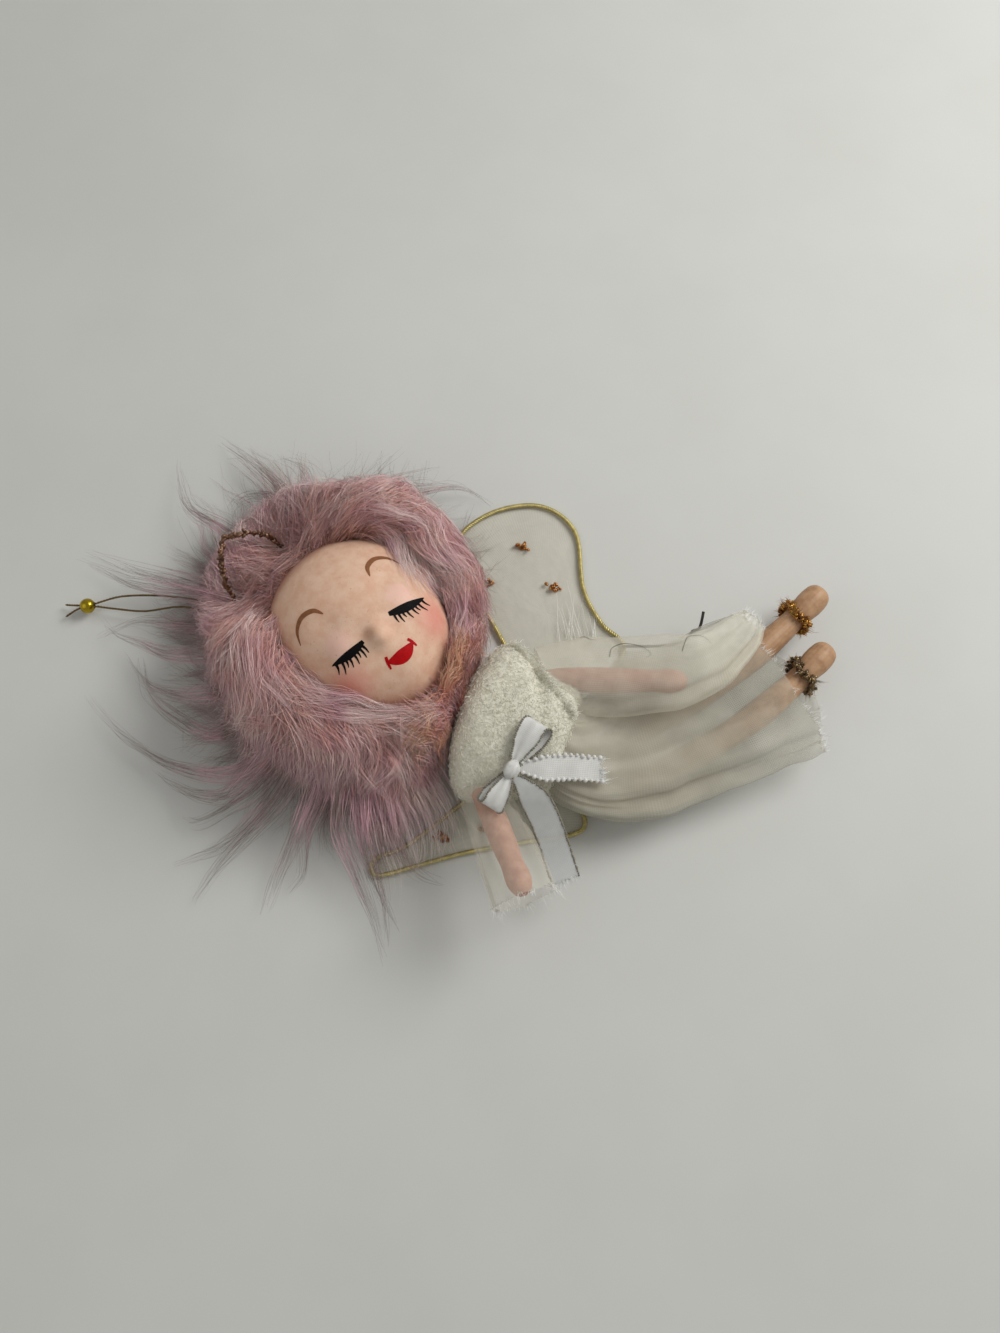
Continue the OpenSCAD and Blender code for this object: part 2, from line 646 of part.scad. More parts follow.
// a leg's line curves outwards between the hip and the toes
function bow_at_share(bow, s) = bow * sin(180 * s);
function bow_slope(bow, s) = atan(bow * PI / leg_length * cos(180 * s));
function leg_point(p, turn, bow, t) =
    p + polar(turn) * t - polar(turn + 90) * bow_at_share(bow, t / leg_length);
module leg(p, turn, bow) {
    profile = open_spline(leg_profile, 2);
    difference() {
        union() {
            translate(p) cylinder(r = eye_r, h = eye_t, center = true);
            tube([for (q = profile) leg_point(p, turn, bow, q[1])], [for (q = profile) q[0]], 20, [0, 0, 1]);
        }
        translate(p) cylinder(d = staple_d + 2 * eye_gap, h = 12, center = true);
    }
}

module arm_left() {
    color([0.84, 0.65, 0.59]) limb(shoulder_left_at, arm_left_turn, arm_left_rise, arm_profile);
}

module arm_right() {
    color([0.84, 0.65, 0.59]) limb(shoulder_right_at, arm_right_turn, arm_right_rise, arm_profile);
}

module leg_left() {
    color([0.75, 0.6, 0.47]) leg(hip_left_at, leg_left_turn, leg_left_bow);
}

module leg_right() {
    color([0.75, 0.6, 0.47]) leg(hip_right_at, leg_right_turn, leg_right_bow);
}

module anklet(p, turn, bow) {
    r = leg_d * 0.43 + anklet_bead_d / 2 + 0.1;
    t = leg_length - 8.5;
    aim(leg_point(p, turn, bow, t), turn - bow_slope(bow, t / leg_length), 0)
        for (i = [0:anklet_beads - 1])
            rotate([0, 0, 360 * i / anklet_beads])
                translate([r, 0, 0])
                sphere(d = anklet_bead_d, $fn = 16);
}

module anklet_left() {
    color([0.6, 0.36, 0.16]) anklet(hip_left_at, leg_left_turn, leg_left_bow);
}

module anklet_right() {
    color([0.6, 0.36, 0.16]) anklet(hip_right_at, leg_right_turn, leg_right_bow);
}

// sleeves: cloth around an arm, given as share of its length, shift to the left, half width and half height
function sleeve_stations(p, turn, rise, shape, sag) =
    [for (q = shape)
        [p + (sleeve_from + sleeve_length * q[0]) * (cos(rise) * polar(turn) + [0, 0, sin(rise)])
            + polar(turn + 90) * q[1] - [0, 0, sag * q[0] * q[0]], turn, q[2], q[3]]];
// the left sleeve swells round the arm and closes in past the hand
sleeve_puff = [[0, 1.6, arm_d / 2 + 2.2, arm_d / 2 + 0.8], [0.25, 1.8, sleeve_w * 0.44, arm_d / 2 + 1],
    [0.5, 2, sleeve_w / 2, arm_d / 2 + 1.1], [0.75, 2.4, sleeve_w * 0.44, arm_d / 2 + 1.1],
    [1, 3.6, sleeve_w * 0.3, arm_d / 2 + 0.6]];
// the right sleeve is a bell whose open end hangs below the arm
sleeve_bell = [for (s = [0:1 / 3:1])
    [s, 0, mix(arm_d / 2 + 1.1, sleeve_w / 2, smooth(s * 0.9)), mix(arm_d / 2 + 0.8, arm_d / 2 + 5, s * s)]];

module sleeve_left() {
    s = sleeve_stations(shoulder_left_at, arm_left_turn, arm_left_rise, sleeve_puff, 0);
    color([0.8, 0.8, 0.78]) skin(cloth(stations(s, 2), 36, organza, 0));
}

module sleeve_right() {
    s = sleeve_stations(shoulder_right_at, arm_right_turn, arm_right_rise, sleeve_bell, 3.5);
    color([0.8, 0.8, 0.78]) skin(cloth(stations(s, 2), 36, organza, 0));
}

torso();
bodice();
neck();
neck_peg();
skirt();
underskirt();
wing_gauze();
wing_wire_left();
wing_wire_right();
wing_dots();
tie_wire();
bow_loops();
bow_knot();
bow_tails();
shoulder_staple_left();
shoulder_staple_right();
hip_staple_left();
hip_staple_right();
head();
hair();
hair_wisps();
tiara_wire();
tiara_beads();
hang_strand_a();
hang_strand_b();
hang_bead();
arm_left();
sleeve_left();
arm_right();
sleeve_right();
leg_left();
anklet_left();
leg_right();
anklet_right();
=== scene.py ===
"""Looks of a small angel ornament on its back: painted head, long hair, plush, sheer cloth and gold cord."""
import math
import random

import bpy
from bpy.props import FloatProperty, FloatVectorProperty, IntProperty, PointerProperty
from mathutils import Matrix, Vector, noise


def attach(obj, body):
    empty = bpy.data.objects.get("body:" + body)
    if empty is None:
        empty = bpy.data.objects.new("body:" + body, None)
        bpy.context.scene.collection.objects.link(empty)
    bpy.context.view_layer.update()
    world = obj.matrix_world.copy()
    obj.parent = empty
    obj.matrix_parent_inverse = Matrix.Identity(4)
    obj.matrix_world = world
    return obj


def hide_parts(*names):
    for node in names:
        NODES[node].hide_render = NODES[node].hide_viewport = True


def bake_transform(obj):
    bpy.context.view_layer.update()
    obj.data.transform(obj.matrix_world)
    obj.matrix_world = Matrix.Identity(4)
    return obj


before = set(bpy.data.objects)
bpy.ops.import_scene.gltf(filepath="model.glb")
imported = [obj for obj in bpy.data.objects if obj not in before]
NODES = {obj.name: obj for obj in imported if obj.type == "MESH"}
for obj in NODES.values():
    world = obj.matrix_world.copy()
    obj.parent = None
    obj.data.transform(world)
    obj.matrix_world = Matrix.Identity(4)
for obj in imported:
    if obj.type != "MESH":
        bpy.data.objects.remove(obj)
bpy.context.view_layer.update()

bl_info = {
    "name": "Angel ornament",
    "version": (1, 0, 0),
    "blender": (4, 5, 0),
    "location": "View3D > Sidebar > Ornament",
    "description": "Builds the finish of a small angel ornament on its packed frame",
    "category": "Add Mesh",
}

MM = 0.001
# the folds take the same noise in each run
NOISE_SEED = 11
noise.seed_set(NOISE_SEED)
# fibres lie at least this far above the table, in metres
TABLE_GAP = 0.0001

# Places, in mm
# The ornament lies on its back: X from crown to toes, Y to its left side, Z up from the table.
ABOVE = Vector((0, 0, 1))

HEAD_TURN = math.radians(30)
HEAD_AT = Vector((-38.5, 6, 17.5))
HEAD_UP = Vector((-math.cos(HEAD_TURN), math.sin(HEAD_TURN), 0))
HEAD_LEFT = Vector((math.sin(HEAD_TURN), math.cos(HEAD_TURN), 0))
HEAD_HALF = (17, 19, 14)
HEAD_JAW = 0.12
EYES_AT = Vector((-33.45, 2.75, 0))

HAIR_AT = Vector((-38, 5, 0))
HAIR_EDGE = 6

CHEST = (-2.5, 11.5)
SHOULDER_LEFT = Vector((-4, 7.6, 14))
SHOULDER_RIGHT = Vector((-10, -12.2, 11))
HIP_LEFT = Vector((18.3, 4.6, 7.5))
HIP_RIGHT = Vector((20, -5.5, 7.5))
BOW_AT = Vector((-1.9, -13, 20.7))


# Settings
def screen(red, green, blue):
    """Linear colour of a screen colour in 0 to 255."""
    return tuple(
        c / 3294.6 if c <= 10.3 else ((c / 255 + 0.055) / 1.055) ** 2.4 for c in (red, green, blue)
    )


def colour(name, description, red, green, blue):
    default = screen(red, green, blue)
    return FloatVectorProperty(
        name=name, description=description, subtype="COLOR", size=3, min=0, max=1, default=default
    )


def length(name, description, default):
    return FloatProperty(name=name, description=description, unit="LENGTH", default=default * MM, min=0)


class HeadSettings(bpy.types.PropertyGroup):
    skin: colour("Skin", "Matt paint of the moulded head", 229, 193, 167)
    blush: colour("Blush", "Pink rubbed on the cheeks", 216, 118, 108)
    lash: colour("Lashes", "Paint of the closed lashes", 9, 8, 9)
    brow: colour("Brows", "Paint of the brows", 146, 96, 64)
    lip: colour("Lips", "Paint of the mouth", 184, 6, 12)
    paint_lift: length("Paint lift", "How far painted marks stand off the head", 0.05)


class HairSettings(bpy.types.PropertyGroup):
    root: colour("Roots", "Hair close to the scalp", 230, 172, 160)
    middle: colour("Middle", "Hair over most of its length", 248, 218, 212)
    patch: colour("Patches", "Tufts that took more of the dye", 222, 176, 184)
    tip: colour("Tips", "Hair at its ends", 248, 232, 228)
    warm: colour("Warm strands", "Reddish hair at the face and the neck", 226, 150, 126)
    neck: colour("Neck", "Orange fuzz under the chin", 240, 192, 160)
    loose: colour("Loose ends", "Long fine ends that lie on the table", 150, 130, 124)
    fibre: length("Fibre", "Half the width of a fibre", 0.04)
    seed: IntProperty(name="Seed", description="Seed of every random choice in the hair", default=7)


class ClothSettings(bpy.types.PropertyGroup):
    plush: colour("Plush", "Fleece of the bodice", 232, 229, 212)
    organza: colour("Organza", "Sheer cloth of the skirt and its loose threads", 196, 193, 176)
    gauze: colour("Gauze", "Thinner sheer cloth of the wings and sleeves", 232, 228, 210)
    lining: colour("Lining", "Thin cotton under the skirt", 222, 208, 184)
    ribbon: colour("Ribbon", "Woven picot ribbon", 221, 220, 214)
    thread_pitch: length("Thread pitch", "Distance between threads of the sheer cloth", 0.32)
    sheer: FloatProperty(
        name="Sheer",
        description="Share of light that sheer cloth stops",
        subtype="FACTOR",
        min=0,
        max=1,
        default=0.5,
    )


class MetalSettings(bpy.types.PropertyGroup):
    gold: colour("Gold cord", "Metal yarn round the wings", 216, 201, 134)
    thread: colour("Hanging thread", "Metal yarn of the hanging loop", 128, 104, 60)
    copper: colour("Copper beads", "Beads and fringe of the anklets, and glitter of the wings", 160, 88, 48)
    bead: colour("Gold bead", "Bead on the hanging loop", 200, 172, 50)


def settings(group):
    return getattr(bpy.context.scene, "ornament_" + group)


# Small geometry
def mix(a, b, t):
    return a + (b - a) * t


def smooth(t):
    t = min(1.0, max(0.0, t))
    return t * t * (3 - 2 * t)


def polar(degrees):
    return Vector((math.cos(math.radians(degrees)), math.sin(math.radians(degrees)), 0))


def power(x, exponent):
    return math.copysign(abs(x) ** exponent, x)


def raised(p, z=0.0):
    """Point over or under p, at height z."""
    return Vector((p.x, p.y, z))


def turns(count):
    """Angles that share a full turn evenly, in radians."""
    return [2 * math.pi * j / count for j in range(count)]


def spline(points, steps, closed=False):
    """Smooth curve through the points, with a number of steps from each to the next."""
    p = [Vector(q) for q in points]
    n = len(p)
    made = []
    for i in range(n if closed else n - 1):
        if closed:
            a, b, c, d = p[i - 1], p[i], p[(i + 1) % n], p[(i + 2) % n]
        else:
            a, b, c, d = p[max(i - 1, 0)], p[i], p[i + 1], p[min(i + 2, n - 1)]
        for s in range(steps):
            t = s / steps
            point = 2 * b + (c - a) * t
            point += (2 * a - 5 * b + 4 * c - d) * t * t
            point += (3 * b - a - 3 * c + d) * t**3
            made.append(0.5 * point)
    return made if closed else made + [p[-1]]


def along(path, t):
    """Point at share t of a list of points."""
    x = min(max(t, 0), 1) * (len(path) - 1)
    i = min(int(x), len(path) - 2)
    return mix(path[i], path[i + 1], x - i)


def link(obj):
    bpy.context.scene.collection.objects.link(obj)
    return obj


def mesh_object(name, points, faces, material, weave=None):
    """Object from points in mm. weave holds a UV pair in mm for each corner of each face."""
    mesh = bpy.data.meshes.new(name)
    mesh.from_pydata([Vector(p) * MM for p in points], [], faces)
    mesh.polygons.foreach_set("use_smooth", [True] * len(faces))
    if weave:
        layer = mesh.uv_layers.new(name="weave")
        layer.uv.foreach_set("vector", [x for corner in weave for x in corner])
    mesh.materials.append(material)
    mesh.update()
    return link(bpy.data.objects.new(name, mesh))


def grid(rows, columns, wrap):
    """Faces between rows of points, given how many there are."""
    faces = []
    for i in range(rows - 1):
        a, b = i * columns, (i + 1) * columns
        for j in range(columns if wrap else columns - 1):
            k = (j + 1) % columns
            faces.append((a + j, a + k, b + k, b + j))
    return faces


def cloth_object(name, rows, material, wrap=False):
    """Cloth through rows of points in mm, with its threads measured along and across in its UV map."""
    m = len(rows[0])
    middle = rows[len(rows) // 2]
    across, down = [0.0], [0.0]
    for j in range(m if wrap else m - 1):
        across.append(across[-1] + (middle[(j + 1) % m] - middle[j]).length)
    for a, b in zip(rows, rows[1:]):
        down.append(down[-1] + (b[0] - a[0]).length)
    weave = []
    for low, high in zip(down, down[1:]):
        for left, right in zip(across, across[1:]):
            weave += [(left, low), (right, low), (right, high), (left, high)]
    return mesh_object(name, [p for row in rows for p in row], grid(len(rows), m, wrap), material, weave)


def closed_object(name, rings, material):
    """Closed skin over rings of points in mm, with a cap at each end."""
    n, m = len(rings[0]), len(rings)
    points = [p for ring in rings for p in ring]
    points += [sum(rings[0], Vector()) / n, sum(rings[-1], Vector()) / n]
    faces = grid(m, n, True)
    last = (m - 1) * n
    for j in range(n):
        k = (j + 1) % n
        faces += [(n * m, k, j), (n * m + 1, last + j, last + k)]
    return mesh_object(name, points, faces, material)


def guide_curves(paths):
    """Unlinked curve object with one open line for each path of points in mm."""
    data = bpy.data.curves.new("guides", "CURVE")
    data.dimensions = "3D"
    for path in paths:
        line = data.splines.new("POLY")
        line.points.add(len(path) - 1)
        line.points.foreach_set("co", [x for p in path for x in (p[0] * MM, p[1] * MM, p[2] * MM, 1.0)])
    return bpy.data.objects.new("guides", data)


# Node trees
def join(tree, socket, value):
    """Links an output to a socket, or sets the socket to a plain value."""
    if isinstance(value, bpy.types.NodeSocket):
        tree.links.new(value, socket)
    else:
        socket.default_value = value


def add(tree, kind, values=None, **options):
    """Adds a node with its options, and joins its inputs by name or number."""
    node = tree.nodes.new(kind)
    for key, value in options.items():
        setattr(node, key, value)
    for key, value in (values or {}).items():
        join(tree, node.inputs[key], value)
    return node


def put(tree, kind, values=None, **options):
    """Adds a node and gives its first output."""
    return add(tree, kind, values, **options).outputs[0]


def math_node(tree, operation, a, b=0.0):
    return put(tree, "ShaderNodeMath", {0: a, 1: b}, operation=operation)


def times(tree, a, b):
    return math_node(tree, "MULTIPLY", a, b)


def vector_node(tree, operation, a, b=(0, 0, 0)):
    return put(tree, "ShaderNodeVectorMath", {0: a, 1: b}, operation=operation)


def scaled(tree, vector, factor):
    return put(tree, "ShaderNodeVectorMath", {0: vector, "Scale": factor}, operation="SCALE")


def ranged(tree, value, low, high, to_low=0.0, to_high=1.0):
    ends = {0: value, 1: low, 2: high, 3: to_low, 4: to_high}
    return put(tree, "ShaderNodeMapRange", ends, interpolation_type="SMOOTHSTEP")


def mixed(tree, factor, a, b, blend="MIX"):
    """Colour between two colours or outputs."""
    node = add(tree, "ShaderNodeMix", {0: factor}, data_type="RGBA", blend_type=blend)
    for socket, value in ((node.inputs[6], a), (node.inputs[7], b)):
        join(tree, socket, value if isinstance(value, bpy.types.NodeSocket) else (*value[:3], 1))
    return node.outputs[2]


def cloud(tree, place, size, detail, roughness=0.5):
    """Noise with blotches of a size."""
    values = {"Vector": place, "Scale": math_node(tree, "DIVIDE", 1.0, size), "Detail": detail}
    return add(tree, "ShaderNodeTexNoise", {**values, "Roughness": roughness}).outputs


def place_in_mm(tree):
    return scaled(tree, add(tree, "ShaderNodeTexCoord").outputs["Object"], 1 / MM)


SOCKETS = {int: "Int", float: "Float", bool: "Bool"}


def new_group(name, kind, inputs, outputs):
    """Node group with named sockets. An input is a default number, or the kind of a socket without one."""
    tree = bpy.data.node_groups.new(name, kind)
    for label, value in inputs.items():
        word = value if isinstance(value, str) else SOCKETS[type(value)]
        socket = tree.interface.new_socket(label, in_out="INPUT", socket_type="NodeSocket" + word)
        if word != value:
            socket.default_value = value
    for label, word in outputs.items():
        tree.interface.new_socket(label, in_out="OUTPUT", socket_type="NodeSocket" + word)
    return tree, tree.nodes.new("NodeGroupInput").outputs, tree.nodes.new("NodeGroupOutput").inputs


def geometry_group(name, inputs):
    whole = {"Geometry": "Geometry", **inputs, "Seed": 1, "Material": "Material"}
    return new_group(name, "GeometryNodeTree", whole, {"Geometry": "Geometry"})


def finish_tree(tree, given, out, shape):
    """Last nodes of each geometry tree: smooth faces, real geometry and its material."""
    soft = put(tree, "GeometryNodeSetShadeSmooth", {"Geometry": shape})
    real = put(tree, "GeometryNodeRealizeInstances", {"Geometry": soft})
    done = put(tree, "GeometryNodeSetMaterial", {"Geometry": real, "Material": given["Material"]})
    tree.links.new(done, out["Geometry"])
    return tree


def random_field(tree, seed, low, high, kind="FLOAT", shift=0):
    """Random field; shift keeps fields of one seed apart."""
    first, output = (0, 0) if kind == "FLOAT_VECTOR" else (2, 1)
    values = {first: low, first + 1: high, "Seed": math_node(tree, "ADD", seed, float(shift))}
    return add(tree, "FunctionNodeRandomValue", values, data_type=kind).outputs[output]


def random_way(tree, seed, shift=0):
    return random_field(tree, seed, (-1, -1, -1), (1, 1, 1), "FLOAT_VECTOR", shift)


def per_curve(tree, value, kind="FLOAT"):
    return put(tree, "GeometryNodeFieldOnDomain", {0: value}, data_type=kind, domain="CURVE")


def stored(tree, shape, name, value, kind="FLOAT"):
    """Stores a value on the points for a material or a later node to read."""
    values = {"Geometry": shape, "Name": name, "Value": value}
    return put(tree, "GeometryNodeStoreNamedAttribute", values, data_type=kind)


def copied(tree, shape, amount, domain):
    values = {"Geometry": shape, "Amount": amount}
    return add(tree, "GeometryNodeDuplicateElements", values, domain=domain).outputs


def moved(tree, shape, offset):
    return put(tree, "GeometryNodeSetPosition", {"Geometry": shape, "Offset": offset})


def rotated(tree, rotation, swing):
    """Rotation turned further, in its own space, by angles about its axes."""
    by = put(tree, "FunctionNodeEulerToRotation", {0: swing})
    values = {"Rotation": rotation, "Rotate By": by}
    return put(tree, "FunctionNodeRotateRotation", values, rotation_space="LOCAL")


def placed(tree, points, shape, rotation, size):
    values = {"Points": points, "Instance": shape, "Rotation": rotation, "Scale": size}
    return put(tree, "GeometryNodeInstanceOnPoints", values)


def straight(tree, start, end):
    return put(tree, "GeometryNodeCurvePrimitiveLine", {"Start": start, "End": end})


def fibre_tree():
    """Copies each guide into a lock of tapering fibres that spread, curl and end at different lengths."""
    inputs = {"Copies": 10, "Points": 8, "Root Spread": 0.001, "Tip Spread": 0.001, "Frizz": 0.002}
    inputs |= {"Frizz Size": 0.006, "Shortest": 0.7, "Half Width": 0.0001, "Flat": True}
    tree, given, out = geometry_group("Fibres", inputs)
    seed = given["Seed"]
    copies = copied(tree, given["Geometry"], given["Copies"], "SPLINE")[0]
    own = per_curve(tree, random_way(tree, seed), "FLOAT_VECTOR")
    reach = per_curve(tree, random_field(tree, seed, given["Shortest"], 1.0, shift=1))
    tint = per_curve(tree, random_field(tree, seed, 0.0, 1.0, shift=2))
    tilt = per_curve(tree, random_field(tree, seed, -1.3, 1.3, shift=3))
    cut = put(tree, "GeometryNodeTrimCurve", {"Curve": copies, "End": reach}, mode="FACTOR")
    even = put(tree, "GeometryNodeResampleCurve", {"Curve": cut, "Count": given["Points"]}, mode="COUNT")
    share = add(tree, "GeometryNodeSplineParameter").outputs["Factor"]
    spread = put(tree, "ShaderNodeMix", {0: share, 2: given["Root Spread"], 3: given["Tip Spread"]})
    place = put(tree, "GeometryNodeInputPosition")
    curl_at = vector_node(tree, "ADD", place, scaled(tree, own, times(tree, given["Frizz Size"], 0.6)))
    curl = cloud(tree, curl_at, given["Frizz Size"], 1.0)["Color"]
    curl = vector_node(tree, "SUBTRACT", curl, (0.5, 0.5, 0.5))
    curl = scaled(tree, curl, times(tree, times(tree, given["Frizz"], 2.0), share))
    free = moved(tree, even, vector_node(tree, "ADD", scaled(tree, own, spread), curl))
    part = add(tree, "ShaderNodeSeparateXYZ", {0: place}).outputs
    height = math_node(tree, "MAXIMUM", part[2], TABLE_GAP)
    clear = put(tree, "ShaderNodeCombineXYZ", {0: part[0], 1: part[1], 2: height})
    laid = put(tree, "GeometryNodeSetPosition", {"Geometry": free, "Position": clear})
    turned = put(tree, "GeometryNodeSetCurveTilt", {"Curve": laid, "Tilt": tilt})
    marked = stored(tree, stored(tree, turned, "along", share), "tint", tint)
    taper = math_node(tree, "SUBTRACT", 1.0, times(tree, math_node(tree, "POWER", share, 1.6), 0.8))
    ribbon = straight(tree, (-1, 0, 0), (1, 0, 0))
    yarn = put(tree, "GeometryNodeCurvePrimitiveCircle", {"Resolution": 3, "Radius": 1.0})
    choice = {"Switch": given["Flat"], "False": yarn, "True": ribbon}
    profile = put(tree, "GeometryNodeSwitch", choice, input_type="GEOMETRY")
    size = times(tree, taper, given["Half Width"])
    sweep = {"Curve": marked, "Profile Curve": profile, "Scale": size}
    return finish_tree(tree, given, out, put(tree, "GeometryNodeCurveToMesh", sweep))


def twist_tree():
    """Lays strands round a path as a twisted cord."""
    inputs = {"Strands": 3, "Pitch": 0.002, "Step": 0.0003, "Radius": 0.0003, "Strand Radius": 0.0003}
    tree, given, out = geometry_group("Twisted cord", inputs)
    path = {"Curve": given["Geometry"], "Length": given["Step"]}
    even = put(tree, "GeometryNodeResampleCurve", path, mode="LENGTH")
    copies = copied(tree, even, given["Strands"], "SPLINE")
    run = add(tree, "GeometryNodeSplineParameter").outputs["Length"]
    turn = math_node(tree, "DIVIDE", run, given["Pitch"])
    start = math_node(tree, "DIVIDE", copies["Duplicate Index"], given["Strands"])
    angle = times(tree, math_node(tree, "ADD", turn, start), 2 * math.pi)
    normal = put(tree, "GeometryNodeInputNormal")
    side = vector_node(tree, "CROSS_PRODUCT", put(tree, "GeometryNodeInputTangent"), normal)
    out_way = scaled(tree, normal, math_node(tree, "COSINE", angle))
    out_way = vector_node(tree, "ADD", out_way, scaled(tree, side, math_node(tree, "SINE", angle)))
    wound = moved(tree, copies[0], scaled(tree, out_way, given["Radius"]))
    marked = stored(tree, wound, "tint", start)
    circle = {"Resolution": 6, "Radius": given["Strand Radius"]}
    profile = put(tree, "GeometryNodeCurvePrimitiveCircle", circle)
    sweep = {"Curve": marked, "Profile Curve": profile, "Fill Caps": True}
    return finish_tree(tree, given, out, put(tree, "GeometryNodeCurveToMesh", sweep))


def bead_tree():
    """Strings small beads along a path, each a little out of line and turned its own way."""
    inputs = {"Spacing": 0.001, "Size": 0.001, "Stretch": 1.0, "Scatter": 0.0, "Turn": 0.0, "Per Place": 1}
    tree, given, out = geometry_group("Beads", inputs)
    seed = given["Seed"]
    path = {"Curve": given["Geometry"], "Length": given["Spacing"]}
    spots = add(tree, "GeometryNodeCurveToPoints", path, mode="LENGTH").outputs
    line = stored(tree, spots["Points"], "lie", spots["Rotation"], "QUATERNION")
    more = copied(tree, line, given["Per Place"], "POINT")[0]
    strung = moved(tree, more, scaled(tree, random_way(tree, seed), given["Scatter"]))
    marked = stored(tree, strung, "tint", random_field(tree, seed, 0.0, 1.0, shift=1))
    lie = put(tree, "GeometryNodeInputNamedAttribute", {"Name": "lie"}, data_type="QUATERNION")
    rotation = rotated(tree, lie, scaled(tree, random_way(tree, seed, 2), given["Turn"]))
    half = times(tree, given["Size"], 0.5)
    ball = put(tree, "GeometryNodeMeshUVSphere", {"Segments": 8, "Rings": 6, "Radius": 1.0})
    size = times(tree, half, random_field(tree, seed, 0.75, 1.15, shift=3))
    shape = put(tree, "ShaderNodeCombineXYZ", {0: size, 1: size, 2: times(tree, size, given["Stretch"])})
    return finish_tree(tree, given, out, placed(tree, marked, ball, rotation, shape))


def fuzz_tree():
    """Sets short curled fibres all over a surface."""
    inputs = {"Density": 3e6, "Length": 0.0015, "Half Width": 0.00005, "Lean": 0.9}
    tree, given, out = geometry_group("Fuzz", inputs)
    seed, lean = given["Seed"], given["Lean"]
    cover = {"Mesh": given["Geometry"], "Density": given["Density"], "Seed": seed}
    spots = add(tree, "GeometryNodeDistributePointsOnFaces", cover).outputs
    bend = {"Resolution": 4, "Start": (0, 0, 0), "Middle": (0.1, 0, 0.75), "End": (0.6, 0.1, 0.85)}
    curl = put(tree, "GeometryNodeCurveQuadraticBezier", bend)
    curl = stored(tree, curl, "along", add(tree, "GeometryNodeSplineParameter").outputs["Factor"])
    thin = math_node(tree, "DIVIDE", given["Half Width"], given["Length"])
    sweep = {"Curve": curl, "Profile Curve": straight(tree, (0, -1, 0), (0, 1, 0)), "Scale": thin}
    fibre = put(tree, "GeometryNodeCurveToMesh", sweep)
    marked = stored(tree, spots["Points"], "tint", random_field(tree, seed, 0.0, 1.0, shift=1))
    low = put(tree, "ShaderNodeCombineXYZ", {0: times(tree, lean, -1.0), 2: -math.pi})
    high = put(tree, "ShaderNodeCombineXYZ", {0: lean, 1: lean, 2: math.pi})
    swing = random_field(tree, seed, low, high, "FLOAT_VECTOR", shift=2)
    rotation = rotated(tree, spots["Rotation"], swing)
    size = times(tree, given["Length"], random_field(tree, seed, 0.6, 1.2, shift=3))
    return finish_tree(tree, given, out, placed(tree, marked, fibre, rotation, size))


TREES = {"Fibres": fibre_tree, "Twisted cord": twist_tree, "Beads": bead_tree, "Fuzz": fuzz_tree}


# inputs of the trees that are lengths
LENGTHS = {"Root Spread", "Tip Spread", "Frizz", "Frizz Size", "Half Width", "Pitch", "Step", "Radius"}
LENGTHS |= {"Strand Radius", "Spacing", "Size", "Scatter", "Length"}


def grown(name, kind, base, material, **inputs):
    """Plain mesh that a tree makes of lines of points or of an object, which goes. Lengths are in mm."""
    if isinstance(base, list):
        base = guide_curves(base)
    tree = bpy.data.node_groups.get(kind) or TREES[kind]()
    modifier = base.modifiers.new(kind, "NODES")
    modifier.node_group = tree
    sockets = {s.name: s.identifier for s in tree.interface.items_tree if s.in_out == "INPUT"}
    modifier[sockets["Material"]] = material
    for key, value in inputs.items():
        label = key.replace("_", " ").title()
        modifier[sockets[label]] = value * MM if label in LENGTHS else value
    link(base)
    depsgraph = bpy.context.evaluated_depsgraph_get()
    mesh = bpy.data.meshes.new_from_object(base.evaluated_get(depsgraph), depsgraph=depsgraph)
    mesh.name = name
    bpy.data.objects.remove(base)
    if not mesh.polygons:
        raise RuntimeError(name + ": the tree made no faces")
    return link(bpy.data.objects.new(name, mesh))


def rides(obj, body, slot, *nodes):
    """Attaches a finished piece to the body that it moves with, and hides the CAD nodes that it stands for.
    The slot of its finish is not used.
    """
    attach(obj, body)
    if nodes:
        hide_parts(*nodes)
    return obj


def dress(material, *nodes):
    """Gives CAD nodes that stay in sight their finish."""
    for name in nodes:
        for place in NODES[name].material_slots:
            place.material = material


# Shared effects of the finishes
def mottle_group():
    """Soft blotches between two colours over the surface."""
    inputs = {"Light": "Color", "Dark": "Color", "Blotch": 3.0, "Contrast": 1.0}
    tree, given, out = new_group("Mottle", "ShaderNodeTree", inputs, {"Color": "Color"})
    blotch = cloud(tree, place_in_mm(tree), given["Blotch"], 4.0, 0.6)["Fac"]
    mask = times(tree, ranged(tree, blotch, 0.3, 0.7), given["Contrast"])
    tree.links.new(mixed(tree, mask, given["Light"], given["Dark"]), out["Color"])
    return tree


def grain_group():
    """Fine surface grain for bumps and roughness."""
    inputs = {"Size": 0.4, "Low": 0.0, "High": 1.0}
    tree, given, out = new_group("Grain", "ShaderNodeTree", inputs, {"Height": "Float", "Value": "Float"})
    fine = cloud(tree, place_in_mm(tree), given["Size"], 3.0)["Fac"]
    tree.links.new(fine, out["Height"])
    tree.links.new(ranged(tree, fine, 0.3, 0.7, given["Low"], given["High"]), out["Value"])
    return tree


